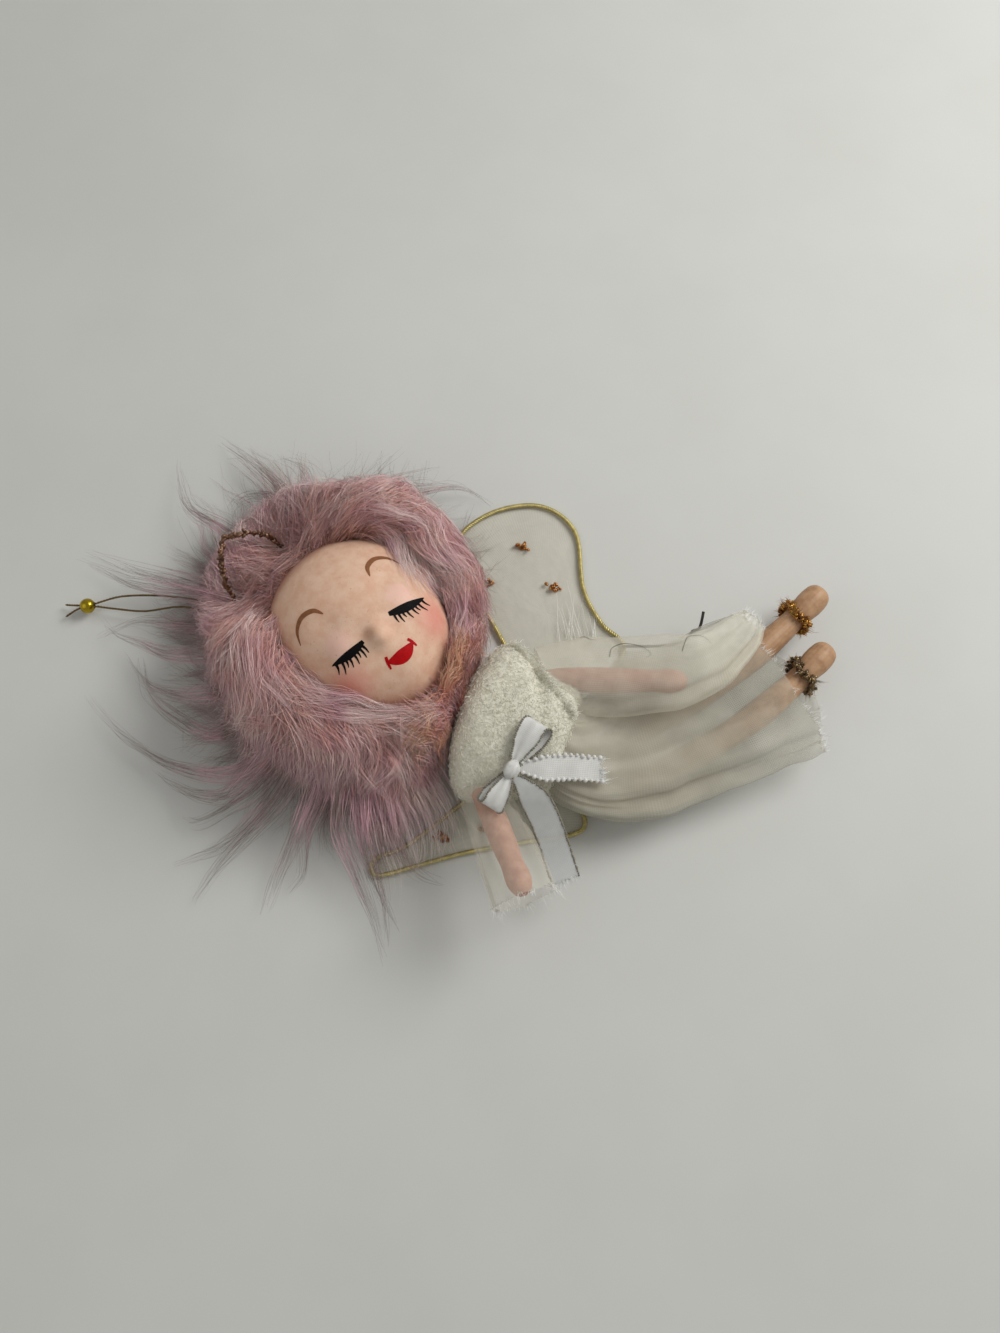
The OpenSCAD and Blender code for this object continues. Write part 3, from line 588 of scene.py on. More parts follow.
def weave_group():
    """Threads that cross, from the cloth's own map in mm."""
    inputs = {"Pitch": 0.3, "Open": 0.2, "Close": 0.6}
    tree, given, out = new_group("Weave", "ShaderNodeTree", inputs, {"Height": "Float", "Cover": "Float"})
    uv = put(tree, "ShaderNodeUVMap", uv_map="weave")
    cells = scaled(tree, uv, math_node(tree, "DIVIDE", math.pi, given["Pitch"]))
    part = add(tree, "ShaderNodeSeparateXYZ", {0: cells}).outputs
    warp, weft = (math_node(tree, "ABSOLUTE", math_node(tree, "SINE", part[i])) for i in (0, 1))
    height = math_node(tree, "MAXIMUM", warp, weft)
    drift = cloud(tree, scaled(tree, uv, 0.35), 1.0, 3.0)["Fac"]
    dense = times(tree, height, ranged(tree, drift, 0.25, 0.75, 0.75, 1.1))
    tree.links.new(height, out["Height"])
    tree.links.new(ranged(tree, dense, 0.55, 1.0, given["Open"], given["Close"]), out["Cover"])
    return tree


def fibre_group():
    """Colour along a fibre from root to tip, in patches, lighter or darker from one fibre to the next."""
    inputs = {"Root": "Color", "Middle": "Color", "Patch": "Color", "Tip": "Color"}
    inputs |= {"Blotch": 8.0, "Variation": 0.4}
    tree, given, out = new_group("Fibre tint", "ShaderNodeTree", inputs, {"Color": "Color", "Tint": "Float"})
    run = add(tree, "ShaderNodeAttribute", attribute_name="along").outputs["Fac"]
    tint = add(tree, "ShaderNodeAttribute", attribute_name="tint").outputs["Fac"]
    blotch = cloud(tree, place_in_mm(tree), given["Blotch"], 2.0)["Fac"]
    tuft = mixed(tree, ranged(tree, blotch, 0.4, 0.62), given["Middle"], given["Patch"])
    first = mixed(tree, ranged(tree, run, 0.0, 0.35), given["Root"], tuft)
    whole = mixed(tree, ranged(tree, run, 0.45, 1.0), first, given["Tip"])
    dark = math_node(tree, "SUBTRACT", 1.0, times(tree, given["Variation"], tint))
    shade = put(tree, "ShaderNodeCombineColor", {0: dark, 1: dark, 2: dark})
    tree.links.new(mixed(tree, 1.0, whole, shade, "MULTIPLY"), out["Color"])
    tree.links.new(tint, out["Tint"])
    return tree


GROUPS = {"Mottle": mottle_group, "Grain": grain_group, "Weave": weave_group, "Fibre tint": fibre_group}


def effect(tree, name, **values):
    """Places one of the shared effects in a material with its own values."""
    group = bpy.data.node_groups.get(name) or GROUPS[name]()
    node = add(tree, "ShaderNodeGroup", node_tree=group)
    for key, value in values.items():
        socket = node.inputs[key.title()]
        join(tree, socket, (*value, 1) if socket.type == "RGBA" else value)
    return node.outputs


def finish(name, **constants):
    """New material: its tree and its shader, with constants set on the shader's own sockets."""
    material = bpy.data.materials.new(name)
    material.use_nodes = True
    shader = material.node_tree.nodes["Principled BSDF"]
    for key, value in constants.items():
        shader.inputs[key.replace("_", " ").title().replace("Ior", "IOR")].default_value = value
    return material, material.node_tree, shader


def bump(tree, shader, height, strength, depth):
    """Bump of a depth in mm."""
    node = put(tree, "ShaderNodeBump", {"Height": height, "Strength": strength, "Distance": depth * MM})
    tree.links.new(node, shader.inputs["Normal"])


def grained(tree, shader, tone, size, rough, strength=0.0, depth=0.0):
    """Gives a shader its colour, and roughness and bumps from one grain; rough is (low, high)."""
    fine = effect(tree, "Grain", size=size, low=rough[0], high=rough[1])
    tree.links.new(tone, shader.inputs["Base Color"])
    tree.links.new(fine["Value"], shader.inputs["Roughness"])
    if depth:
        bump(tree, shader, fine["Height"], strength, depth)


def darker(rgb, share):
    return tuple(c * share for c in rgb)


# Finishes
def mottled_finish(name, light, dark, blotch, grain, rough, depth=0.03):
    """Matt painted or cast surface with blotches and a fine grain."""
    material, tree, shader = finish(name, specular_ior_level=0.3)
    tone = effect(tree, "Mottle", light=light, dark=dark, blotch=blotch, contrast=0.8)["Color"]
    grained(tree, shader, tone, grain, (rough - 0.08, rough + 0.08), 0.6, depth)
    return material


def face_finish(skin, spots):
    """Peach paint with rubbed spots of other paint and spots of painted shade, and brown specks."""
    material, tree, shader = finish("painted_head", specular_ior_level=0.25)
    tone = effect(tree, "Mottle", light=skin, dark=screen(214, 166, 137), blotch=2.6, contrast=0.7)["Color"]
    place = place_in_mm(tree)
    for middle, near, far, strength, paint in spots:
        ends = {0: place, 1: middle}
        away = add(tree, "ShaderNodeVectorMath", ends, operation="DISTANCE").outputs["Value"]
        mask = times(tree, ranged(tree, away, near, far, 1.0, 0.0), strength)
        tone = mixed(tree, mask, tone, paint)
    speck = add(tree, "ShaderNodeTexNoise", {"Vector": place, "Scale": 1.9, "Detail": 3.0}).outputs["Fac"]
    tone = mixed(tree, ranged(tree, speck, 0.66, 0.74, 0.0, 0.45), tone, screen(176, 120, 90))
    grained(tree, shader, tone, 0.35, (0.55, 0.75), 0.7, 0.05)
    return material


def paint_finish(name, rgb, rough):
    """Brushed-on paint with slightly uneven gloss."""
    material, tree, shader = finish(name, specular_ior_level=0.12)
    tone = effect(tree, "Mottle", light=rgb, dark=darker(rgb, 0.72), blotch=0.8, contrast=0.8)["Color"]
    grained(tree, shader, tone, 0.25, (rough - 0.1, rough + 0.1), 0.5, 0.02)
    return material


def fibre_finish(name, root, middle, patch, tip, variation, rough=0.55, blotch=8.0):
    """Fibres, coloured along their length and in patches."""
    material, tree, shader = finish(name, specular_ior_level=0.35, sheen_weight=0.25, sheen_roughness=0.4)
    tones = {"root": root, "middle": middle, "patch": patch, "tip": tip}
    tone = effect(tree, "Fibre tint", **tones, variation=variation, blotch=blotch)
    tree.links.new(tone["Color"], shader.inputs["Base Color"])
    uneven = ranged(tree, tone["Tint"], 0.0, 1.0, rough - 0.12, rough + 0.12)
    tree.links.new(uneven, shader.inputs["Roughness"])
    return material


def sheer_finish(name, rgb, stop, fade=None):
    """Sheer cloth that lets light through between its threads; fade is (start, end, share left) in mm."""
    pitch = settings("cloth").thread_pitch / MM
    material, tree, shader = finish(name, specular_ior_level=0.3, sheen_weight=0.2, sheen_roughness=0.35)
    weave = effect(tree, "Weave", pitch=pitch, open=stop * 0.9, close=stop * 1.08)
    tone = effect(tree, "Mottle", light=rgb, dark=darker(rgb, 0.88), blotch=6.0, contrast=0.7)
    cover = weave["Cover"]
    if fade:
        uv = put(tree, "ShaderNodeUVMap", uv_map="weave")
        down = add(tree, "ShaderNodeSeparateXYZ", {0: uv}).outputs[1]
        cover = times(tree, cover, ranged(tree, down, fade[0], fade[1], 1.0, fade[2]))
    tree.links.new(tone["Color"], shader.inputs["Base Color"])
    tree.links.new(cover, shader.inputs["Alpha"])
    tree.links.new(ranged(tree, weave["Height"], 0.0, 1.0, 0.6, 0.42), shader.inputs["Roughness"])
    bump(tree, shader, weave["Height"], 0.08, 0.05)
    return material


def woven_finish(name, light, dark, pitch, rough, gloss, sheen):
    """Close-woven ribbon."""
    material, tree, shader = finish(name, specular_ior_level=gloss, sheen_weight=sheen, sheen_roughness=0.4)
    weave = effect(tree, "Weave", pitch=pitch, open=1.0, close=0.0)
    tone = effect(tree, "Mottle", light=light, dark=dark, blotch=4.0, contrast=0.7)
    lined = mixed(tree, times(tree, weave["Cover"], 0.4), tone["Color"], dark)
    tree.links.new(lined, shader.inputs["Base Color"])
    tree.links.new(ranged(tree, weave["Height"], 0.3, 1.0, rough + 0.15, rough), shader.inputs["Roughness"])
    bump(tree, shader, weave["Height"], 0.6, 0.06)
    return material


def metal_finish(name, light, dark, rough, blotch=1.5, metallic=1.0):
    """Metal with tarnish in blotches."""
    material, tree, shader = finish(name, metallic=metallic)
    tone = effect(tree, "Mottle", light=light, dark=dark, blotch=blotch, contrast=0.9)["Color"]
    grained(tree, shader, tone, 0.2, (rough - 0.08, rough + 0.12), 0.3, 0.02)
    return material


def bead_finish(name, light, dark, rough):
    """Metal beads, each of its own shade."""
    material, tree, shader = finish(name, metallic=0.85)
    tint = add(tree, "ShaderNodeAttribute", attribute_name="tint").outputs["Fac"]
    grained(tree, shader, mixed(tree, tint, light, dark), 0.3, (rough - 0.1, rough + 0.15), 0.3, 0.03)
    return material


# Head
HEAD_RINGS = 96
HEAD_SIDES = 128
# raised and hollow places of the face: direction to its left, up and front, spread and height in mm
FACE_FORMS = [
    ((-0.07, -0.5, 0.865), 0.125, 2.0),
    ((-0.04, -0.36, 0.93), 0.13, 0.4),
    ((0.47, -0.27, 0.84), 0.2, 0.7),
    ((-0.51, -0.27, 0.82), 0.2, 0.7),
    ((0.47, 0, 0.88), 0.2, -0.5),
    ((-0.5, 0, 0.87), 0.2, -0.5),
    ((0.6, -0.64, 0.49), 0.32, 0.9),
    ((-0.64, -0.61, 0.46), 0.32, 0.9),
    ((0.01, -0.76, 0.65), 0.2, 0.5),
    ((0.03, -0.93, 0.36), 0.3, 0.6),
]
# painted marks, as (left, down) from the middle of the eyes
EYE_SPACING = 7.2
LASHES = 8
LASH_STEPS = 20
LIP_STEPS = 18
BROW = [(5.7, -8.7), (6.7, -10.7), (9.0, -11.5), (11.2, -10.3), (12.4, -7.9)]
LIP_TICKS = ([(-2.3, 5.2), (-2.7, 6.2), (-2.9, 7.3)], [(3.0, 5.2), (3.4, 6.0), (3.65, 7.0)])
TICK_WIDTHS = [0.5, 0.6, 0.6, 0.6, 0.6, 0.5, 0.5, 0.4, 0.3]


def lump(direction, middle, spread):
    return math.exp(-(((direction - Vector(middle).normalized()).length / spread) ** 2))


def head_radius(d):
    """Distance from the middle of the head to its skin, in mm, in a direction (left, up, front)."""
    wide = HEAD_HALF[0] * (1 + HEAD_JAW * d[1])
    base = 1 / Vector((d[0] / wide, d[1] / HEAD_HALF[1], d[2] / HEAD_HALF[2])).length
    return base + sum(height * lump(d, middle, spread) for middle, spread, height in FACE_FORMS)


def head_frame(d):
    return HEAD_LEFT * d[0] + HEAD_UP * d[1] + ABOVE * d[2]


def head_local(v):
    return Vector((v.dot(HEAD_LEFT), v.dot(HEAD_UP), v.dot(ABOVE)))


def head_rings():
    rings = []
    for i in range(1, HEAD_RINGS):
        b = math.radians(-90 + 180 * i / HEAD_RINGS)
        ring = []
        for a in turns(HEAD_SIDES):
            d = Vector((math.cos(b) * math.sin(a), math.sin(b), math.cos(b) * math.cos(a)))
            ring.append(HEAD_AT + head_frame(d) * head_radius(d))
        rings.append(ring)
    return rings


def face_point(e, d, lift=0.0):
    """Point on the face e mm to its left and d mm below the line of the eyes, seen from the front."""
    away = EYES_AT + HEAD_LEFT * e - HEAD_UP * d - raised(HEAD_AT)
    left, up = away.dot(HEAD_LEFT), away.dot(HEAD_UP)
    low, high = 0.0, 25.0
    for _ in range(30):
        front = (low + high) / 2
        q = Vector((left, up, front))
        if q.length < head_radius(q.normalized()):
            low = front
        else:
            high = front
    return HEAD_AT + head_frame(Vector((left, up, low))) + ABOVE * lift


def painted_strip(line, widths, lift, steps=4):
    """Points and faces of a painted stroke along (e, d) points with a width at each."""
    points = []
    for i, (e, d) in enumerate(line):
        before, after = line[max(i - 1, 0)], line[min(i + 1, len(line) - 1)]
        run = Vector((after[0] - before[0], after[1] - before[1], 0)).normalized()
        for j in range(steps + 1):
            x = (j / steps - 0.5) * widths[i]
            points.append(face_point(e - run.y * x, d + run.x * x, lift))
    return points, grid(len(line), steps + 1, False)


def joined_strips(strips):
    points, faces = [], []
    for p, f in strips:
        n = len(points)
        points += p
        faces += [tuple(n + i for i in face) for face in f]
    return points, faces


def curve2(points, steps):
    return [(p.x, p.y) for p in spline([(e, d, 0) for e, d in points], steps)]


def face_up(obj):
    """Turns painted faces to look away from the head."""
    middle = HEAD_AT * MM
    for polygon in obj.data.polygons:
        if polygon.normal.dot(polygon.center - middle) < 0:
            polygon.flip()
    obj.data.update()
    return obj


def lash_strips(side, lift):
    """Closed lid of one eye: a thick dropped line with spiky lashes below it."""
    middle = EYE_SPACING * side
    share = [i / LASH_STEPS for i in range(LASH_STEPS + 1)]
    drop, half = (0.35, 3.9) if side > 0 else (-0.55, 3.5)
    line, widths = [], []
    for t in share:
        line.append((middle + side * mix(-half, half, t), 0.55 * math.sin(math.pi * t) + drop * (2 * t - 1)))
        widths.append(0.16 + 0.38 * half * math.sin(math.pi * (0.12 + 0.88 * t)) ** 0.85)
    strips = [painted_strip(line, widths, lift)]
    for i in range(LASHES):
        t = 0.1 + 0.115 * i
        e, d = line[int(t * LASH_STEPS)]
        fan = math.radians(mix(-12, 34, t))
        reach = 1.65 + 0.4 * math.sin(i * 2.3)
        tip = (e + side * math.sin(fan) * reach, d + 0.45 + math.cos(fan) * reach)
        bend = (mix(e, tip[0], 0.5) - side * 0.12, mix(d + 0.2, tip[1], 0.5) + 0.1)
        stroke = curve2([(e, d + 0.2), bend, tip], 4)
        strips.append(painted_strip(stroke, [mix(0.6, 0.12, k / 8) for k in range(9)], lift + 0.02, 2))
    return joined_strips(strips)


def brow_strips(side, lift):
    """Arched brow, thick at its top and fine at both ends."""
    line = curve2([(side * e, d) for e, d in BROW], 6)
    n = len(line) - 1
    widths = [0.15 + 0.9 * math.sin(math.pi * (i / n) ** 0.8) ** 1.3 for i in range(n + 1)]
    return painted_strip(line, widths, lift)


def lip_strips(lift):
    """Small smiling mouth with a tick at each corner."""
    share = [i / LIP_STEPS for i in range(LIP_STEPS + 1)]
    line = [(mix(-2.6, 3.3, t), 6.1 + 0.9 * math.sin(math.pi * t) ** 0.9) for t in share]
    widths = [0.35 + 2.0 * math.sin(math.pi * t) ** 0.85 for t in share]
    ticks = [painted_strip(curve2(points, 4), TICK_WIDTHS, lift, 2) for points in LIP_TICKS]
    return joined_strips([painted_strip(line, widths, lift)] + ticks)


def face_spots(blush):
    """Spots on the face: rubbed paint, a brown smudge, and painted shade beside the nose and under the
    hairline; each gives place, where it is full and where it ends in mm, strength and colour.
    """
    spots = []
    for side in (-1, 1):
        spots.append((face_point(10.4 * side, 4.4), 0.2, 6.8, 0.62, blush))
        spots.append((face_point(7.6 * side, -2.2), 1.6, 3.8, 0.7, screen(240, 196, 180)))
    chin = (face_point(1.0, 13.5), 1.0, 7.0, 0.35, screen(206, 146, 116))
    # darker paint beside the nose: partly a brown smudge, partly painted shade of the nose's bump
    nose_smudge_and_shade = (face_point(-2.0, 0.4), 0.3, 2.0, 0.45, screen(160, 112, 84))
    # painted shade under the overhanging hair: warm brown over the forehead's edge and the skin hidden beyond
    # it
    hairline = (face_point(0, 6), 30.0, 26.0, 0.75, screen(150, 88, 68))
    return [*spots, chin, nose_smudge_and_shade, hairline]


class ORNAMENT_OT_head(bpy.types.Operator):
    """Make the moulded head with its painted face"""

    bl_idname = "ornament.head"
    bl_label = "Head"

    def execute(self, context):
        s = settings("head")
        lift = s.paint_lift / MM
        head = closed_object("painted_head", head_rings(), face_finish(s.skin, face_spots(s.blush)))
        rides(head, "head", "skin", "head")
        black = paint_finish("lash_paint", s.lash, 0.7)
        brown = paint_finish("brow_paint", s.brow, 0.6)
        red = paint_finish("lip_paint", s.lip, 0.6)
        marks = [("lip_paint", lip_strips(lift), red)]
        for side, word in ((-1, "right"), (1, "left")):
            marks.append(("lashes_" + word, lash_strips(side, lift), black))
            marks.append(("brow_" + word, brow_strips(side, lift), brown))
        for name, (points, faces), material in marks:
            rides(face_up(mesh_object(name, points, faces, material)), "head", "skin")
        return {"FINISHED"}


# Hair
# the tiara: a beaded wire that rises to a point over the crown
TIARA_AT = Vector((-65.5, 13.5, 11))
TIARA_TURN = 164
TIARA_RADIUS = 7.4
TIARA_PEAK = 7
# reach of the dense hair from its middle, in mm, at each step in degrees from the body line to the left side
HAIR_STEP = 20
HAIR_REACH = (20.5, 22.5, 25.5, 28, 32, 34.5, 37, 40, 39, 35.5, 32.5, 31, 30.5, 30, 30, 32, 27.5, 22)
# how far past the pile's edge hair may reach, as a share of the pile
HAIR_ENDS = 1.22
STREAM_ENDS = 1.55
WISP_ENDS = 2.0
# width in mm of the hairline's roll, between the skin and the pile
RIM_WIDTH = 1.6
# sides of the solid core under the hair, and the shares of the pile and depths in mm of its rings
CORE_SIDES = 120
CORE_RINGS = ((0.04, 2.6), (0.15, 2.4), (0.26, 2.8), (0.36, 3.6), (0.44, 5), (0.5, 7), (0.52, 10))
# how far the hair beside the face turns from straight out, by the angle round the head
HAIR_SWEEP = [
    (-30, 40),
    (20, -60),
    (60, -72),
    (100, -66),
    (130, -25),
    (152, 10),
    (190, 58),
    (235, 76),
    (275, 58),
    (300, 30),
    (330, 12),
    (380, -60),
]
# routes of the long loose locks from the pile's edge to their ends, seen from above, in mm
LOOSE_LOCKS = [
    [(-76, 21), (-86, 25), (-92, 31), (-97, 39)],
    [(-66, 32), (-75, 38), (-83, 42), (-90, 45)],
    [(-63, 36), (-67, 41), (-72, 43), (-75, 44)],
    [(-67, 30), (-74, 32), (-79, 30), (-79, 26)],
    [(-74, 7), (-84, 8), (-94, 9), (-106, 10)],
    [(-75, 5), (-86, 5), (-96, 6), (-107, 8)],
    [(-75, -8), (-84, -7), (-91, -6), (-96, -3)],
    [(-64, -13), (-73, -15), (-81, -14), (-88, -9)],
    [(-61, -21), (-70, -20), (-79, -16), (-85, -8)],
    [(-54, -27), (-68, -29), (-83, -25), (-93, -19)],
    [(-53, -31), (-60, -33), (-67, -32), (-73, -30)],
    [(-44, -25), (-48, -34), (-53, -41), (-61, -47)],
    [(-44, -30), (-48, -37), (-52, -45), (-54, -53)],
    [(-38, -31), (-39, -38), (-40, -44), (-40, -51)],
    [(-31, -31), (-25, -38), (-19, -45), (-14, -53)],
    [(-27, -30), (-23, -36), (-19, -41), (-14, -46)],
    [(-27, -27), (-23, -33), (-18, -41), (-15, -49)],
    [(-23, -25), (-19, -31), (-14, -34), (-8, -34)],
    [(-44, 38), (-39, 45), (-33, 49), (-26, 47)],
    [(-50, 38), (-47, 44), (-41, 48), (-36, 49)],
    [(-57, 36), (-56, 41), (-52, 45), (-48, 49)],
    [(-49, -28), (-54, -34), (-59, -38), (-63, -38)],
    [(-36, -29), (-37, -35), (-36, -41), (-38, -46)],
    [(-70, 0), (-79, -1), (-88, -2), (-95, -8)],
]
# height of a loose lock at the pile's edge and at its end
LOCK_DROP = (9.2, 1.2)
# locks that lie over the right wing, each laid three times side by side
WING_LOCKS = [
    [(-27, -25), (-23, -32), (-19, -37), (-17, -42)],
    [(-25, -22), (-20, -28), (-16, -33), (-15, -38)],
    [(-22, -19), (-16, -25), (-13, -30), (-12, -34)],
    [(-20, -17), (-14, -22), (-10, -27), (-7, -30)],
    [(-18, -15), (-13, -19), (-9, -22), (-6, -24)],
    [(-21, -16), (-15, -20), (-12, -25), (-11, -31)],
    [(-24, -19), (-18, -24), (-15, -30), (-15, -36)],
]
WING_SHIFTS = ((-1.4, -0.9), (0, 0), (1.6, 0.8))
# locks that lie over the left temple, and how many there are on each route
TEMPLE_LOCKS = [
    [(-40, 26.6), (-35.7, 21.6), (-32, 16.8), (-28.1, 13.8)],
    [(-38.6, 27.5), (-35.2, 23.5), (-30.4, 17.7), (-26.6, 14.8)],
    [(-37.1, 28), (-33.5, 25), (-30.1, 20.5), (-25.1, 16)],
    [(-35.5, 27.6), (-31.6, 24.7), (-28.2, 20.7), (-24.2, 16.5)],
    [(-30.2, 19.5), (-27.2, 16.3), (-24.5, 15.4), (-22, 15)],
    [(-40.9, 26.8), (-38, 24.5), (-33.8, 18.2), (-31, 15.1)],
]
TEMPLE_COUNT = 16


def tiara_point(angle):
    rise = TIARA_PEAK * (1 - abs(angle - 90) / 90) if angle < 180 else 0
    a = math.radians(angle)
    ring = polar(TIARA_TURN - 90) * math.cos(a) + ABOVE * math.sin(a)
    return TIARA_AT + ring * TIARA_RADIUS + polar(TIARA_TURN) * rise


TIARA_TOP = [tiara_point(a) for a in range(15, 170, 5)]


def below_tiara(p, drop=4.2):
    """Keeps hair from covering the tiara: near it, hair stays a drop in mm below it."""
    for q in TIARA_TOP:
        away = (q.xy - p.xy).length
        p.z = min(p.z, max(0.6, q.z - drop) + 1.2 * max(0, away - 3.5))
    return p


def facing(angle, towards):
    """1 at the angle that it faces, in degrees, and 0 at the opposite one."""
    return 0.5 + 0.5 * math.cos(math.radians(angle - towards))


def rim_rise(angle):
    """Elevation of the hairline on the head, in degrees."""
    return mix(6, 22, facing(angle, 150))


def crest(angle):
    """How far the hair stands above the hairline, in mm."""
    return mix(0.6, 3.2, facing(angle, 130))


def pile_reach(angle):
    x = (angle % 360) / HAIR_STEP
    i = int(x)
    n = len(HAIR_REACH)
    return mix(HAIR_REACH[i % n], HAIR_REACH[(i + 1) % n], smooth(x - i))


def scalp_point(angle, rise, lift):
    d = polar(angle) * math.cos(math.radians(rise)) + ABOVE * math.sin(math.radians(rise))
    return HEAD_AT + d * (head_radius(head_local(d)) + lift)


RIM = [scalp_point(a, rim_rise(a), 0.4) for a in range(360)]


def pile_top(angle, s):
    """Height of the pile at share s of the way from the hairline to its foot, and past it on the table."""
    if s > 1:
        return mix(HAIR_EDGE, 1.2, smooth((s - 1) / (HAIR_ENDS - 1)))
    return mix(HAIR_EDGE, RIM[int(angle) % 360].z + crest(angle), (1 - max(0, s) ** 2) ** 0.8)


def skin_top(p):
    """Height of the head's skin over a point, and none beside the head."""
    away = raised(p) - raised(HEAD_AT)
    share = away.length / head_radius(head_local(away.normalized()))
    return HEAD_AT.z + HEAD_HALF[2] * math.sqrt(1 - share * share) if share < 1 else 0.0


def pile_point(angle, s, lift=0.0):
    way = polar(angle)
    q = mix(raised(RIM[int(angle) % 360]) + way * RIM_WIDTH, HAIR_AT + way * pile_reach(angle), s)
    return raised(q, max(0.6, pile_top(angle, s) + lift))


def pile_place(p):
    """Angle and share of the pile under a point."""
    away = raised(p) - HAIR_AT
    angle = math.degrees(math.atan2(away.y, away.x)) % 360
    inner = (raised(RIM[int(angle) % 360]) - HAIR_AT).length + RIM_WIDTH
    return angle, (away.length - inner) / (pile_reach(angle) - inner)


def lie_of_hair(p, angle, s):
    """Direction that the hair lies in: round the face beside it, straight out at the edge, in swirls."""
    b = (angle + 30) % 360 - 30
    for (a, low), (c, high) in zip(HAIR_SWEEP, HAIR_SWEEP[1:]):
        if a <= b <= c:
            sweep = mix(low, high, smooth((b - a) / (c - a)))
    swirl = 60 * noise.noise(p * 0.075) + 44 * noise.noise(p * 0.2 + Vector((5, 9, 2)))
    outer = 0.3 * sweep - 40 * smooth(1 - abs(b - 225) / 85)
    return angle + mix(sweep, outer, smooth((s - 0.1) / 0.9)) + swirl


def tousle(p):
    """Height of the lumps and hollows that the hair lies in, in mm."""
    return 4.6 * noise.noise(p * 0.085) + 1.6 * noise.noise(p * 0.24)


def reach_limit(angle, ends):
    """Share of the pile that hair may reach: short of the bodice, and past the edge elsewhere."""
    b = (angle + 180) % 360 - 180
    return mix(0.96, ends, smooth((abs(b) - 30) / 32))


def lock_guide(pick, angle, start, run, lift, wander, count, ends):
    """Line of a lock that follows the lie of the hair for a run in mm, from share start of the pile."""
    p = pile_point(angle, start)
    turn = pick.gauss(0, wander)
    line = []
    for i in range(count):
        t = i / (count - 1)
        here, s = pile_place(p)
        if (s > reach_limit(here, ends) or s < -0.3) and len(line) > 2:
            break
        rise = tousle(raised(p)) + lift * math.sin(math.pi * min(1, 0.12 + 0.88 * t)) ** 0.8
        top = max(0.5, pile_top(here, s) - 0.8 + rise, skin_top(p) + 0.4 if s < 0.05 else 0)
        line.append(below_tiara(raised(p, top)))
        p = p + polar(lie_of_hair(raised(p), here, s) + turn) * (run / (count - 1))
    return line


def tufts(pick, count, angles, starts, runs, lifts, wander, points=8, ends=HAIR_ENDS):
    """Lines of locks, each with its values picked from their ranges."""
    lines = []
    for _ in range(count):
        values = [pick.uniform(*limits) for limits in (angles, starts, runs, lifts)]
        lines.append(lock_guide(pick, *values, wander, points, ends))
    return lines


def loose_guide(route, shift=(0, 0)):
    """A loose lock's line: rooted in the pile behind its first point, it drops to the table."""
    high, low = LOCK_DROP
    n = len(route) - 1
    line = []
    for i, (x, y) in enumerate(route):
        line.append(Vector((x + shift[0], y + shift[1], mix(low, high, (1 - i / n) ** 1.5))))
    root = mix(line[0], HAIR_AT + Vector((0, 0, 12)), 0.35)
    return spline([root, *line], 6)


def temple_guide(pick, route):
    """Line of a lock that lies on the hair and then on the skin beside the face."""
    aside = Vector((pick.gauss(0, 0.9), pick.gauss(0, 0.9), 0))
    line = []
    for p in spline([Vector((x, y, 0)) + aside for x, y in route], 3):
        angle, s = pile_place(p)
        line.append(raised(p, max(skin_top(p) + 0.6, pile_top(angle, s))))
    return line


def hair_core_rings():
    """Solid core that fills the pile under its fibres."""
    angles = [360 * j / CORE_SIDES for j in range(CORE_SIDES)]
    rings = [[scalp_point(a, rim_rise(a) - 4, -0.8) for a in angles]]
    for s, drop in CORE_RINGS:
        ring = []
        for a in angles:
            lift = tousle(raised(pile_point(a, s))) - drop
            ring.append(below_tiara(pile_point(a, s, lift), 7))
        rings.append(ring)
    for s in (0.9, 0.6, 0.25):
        rings.append([raised(mix(HEAD_AT, pile_point(a, 0.5), s), 0.5) for a in angles])
    return rings


def hair_guides(pick):
    """Guide lines of the pieces of hair, picked at random in this order."""
    round_head = (0, 360)
    guides = {
        "hair_coat": tufts(pick, 1700, round_head, (-0.04, 0.94), (4, 9), (0.1, 1.2), 26),
        "hair_locks": tufts(pick, 300, round_head, (-0.02, 0.6), (13, 28), (0.8, 5.0), 28, 12),
        "hair_tufts": tufts(pick, 460, round_head, (-0.02, 0.75), (8, 17), (0.6, 4.0), 32, 9),
        "hairline": tufts(pick, 420, (90, 220), (-0.14, -0.02), (5, 11), (0.2, 1.4), 14),
        "hair_cheek": tufts(pick, 300, (195, 450), (-0.26, -0.05), (6, 14), (0.3, 1.6), 16),
    }
    for route in TEMPLE_LOCKS:
        guides["hair_cheek"] += [temple_guide(pick, route) for _ in range(TEMPLE_COUNT)]
    edge = tufts(pick, 110, (130, 318), (0.4, 0.9), (16, 32), (0.5, 3.0), 16, 12, WISP_ENDS)
    edge += tufts(pick, 36, (70, 130), (0.3, 0.8), (12, 24), (1.0, 4.0), 30, 12, WISP_ENDS)
    stream = tufts(pick, 96, (150, 290), (0.02, 0.62), (22, 42), (0.8, 4.5), 17, 12, STREAM_ENDS)
    stream += tufts(pick, 30, (60, 150), (0.1, 0.6), (16, 28), (1.5, 4.5), 28, 12, STREAM_ENDS)
    fall = tufts(pick, 60, (284, 328), (0.5, 0.98), (10, 17), (0.8, 3.0), 16, 12, WISP_ENDS)
    fall += [loose_guide(route, shift) for route in WING_LOCKS for shift in WING_SHIFTS]
    guides |= {"hair_edge": edge, "hair_stream": stream, "hair_fall": fall}
    guides["hair_strays"] = tufts(pick, 420, (40, 325), (0.3, 0.9), (14, 34), (1, 5), 30, 12, WISP_ENDS)
    guides["hair_neck"] = tufts(pick, 340, (-40, 12), (0.15, 0.9), (4, 8), (2.0, 6.5), 60)
    return guides


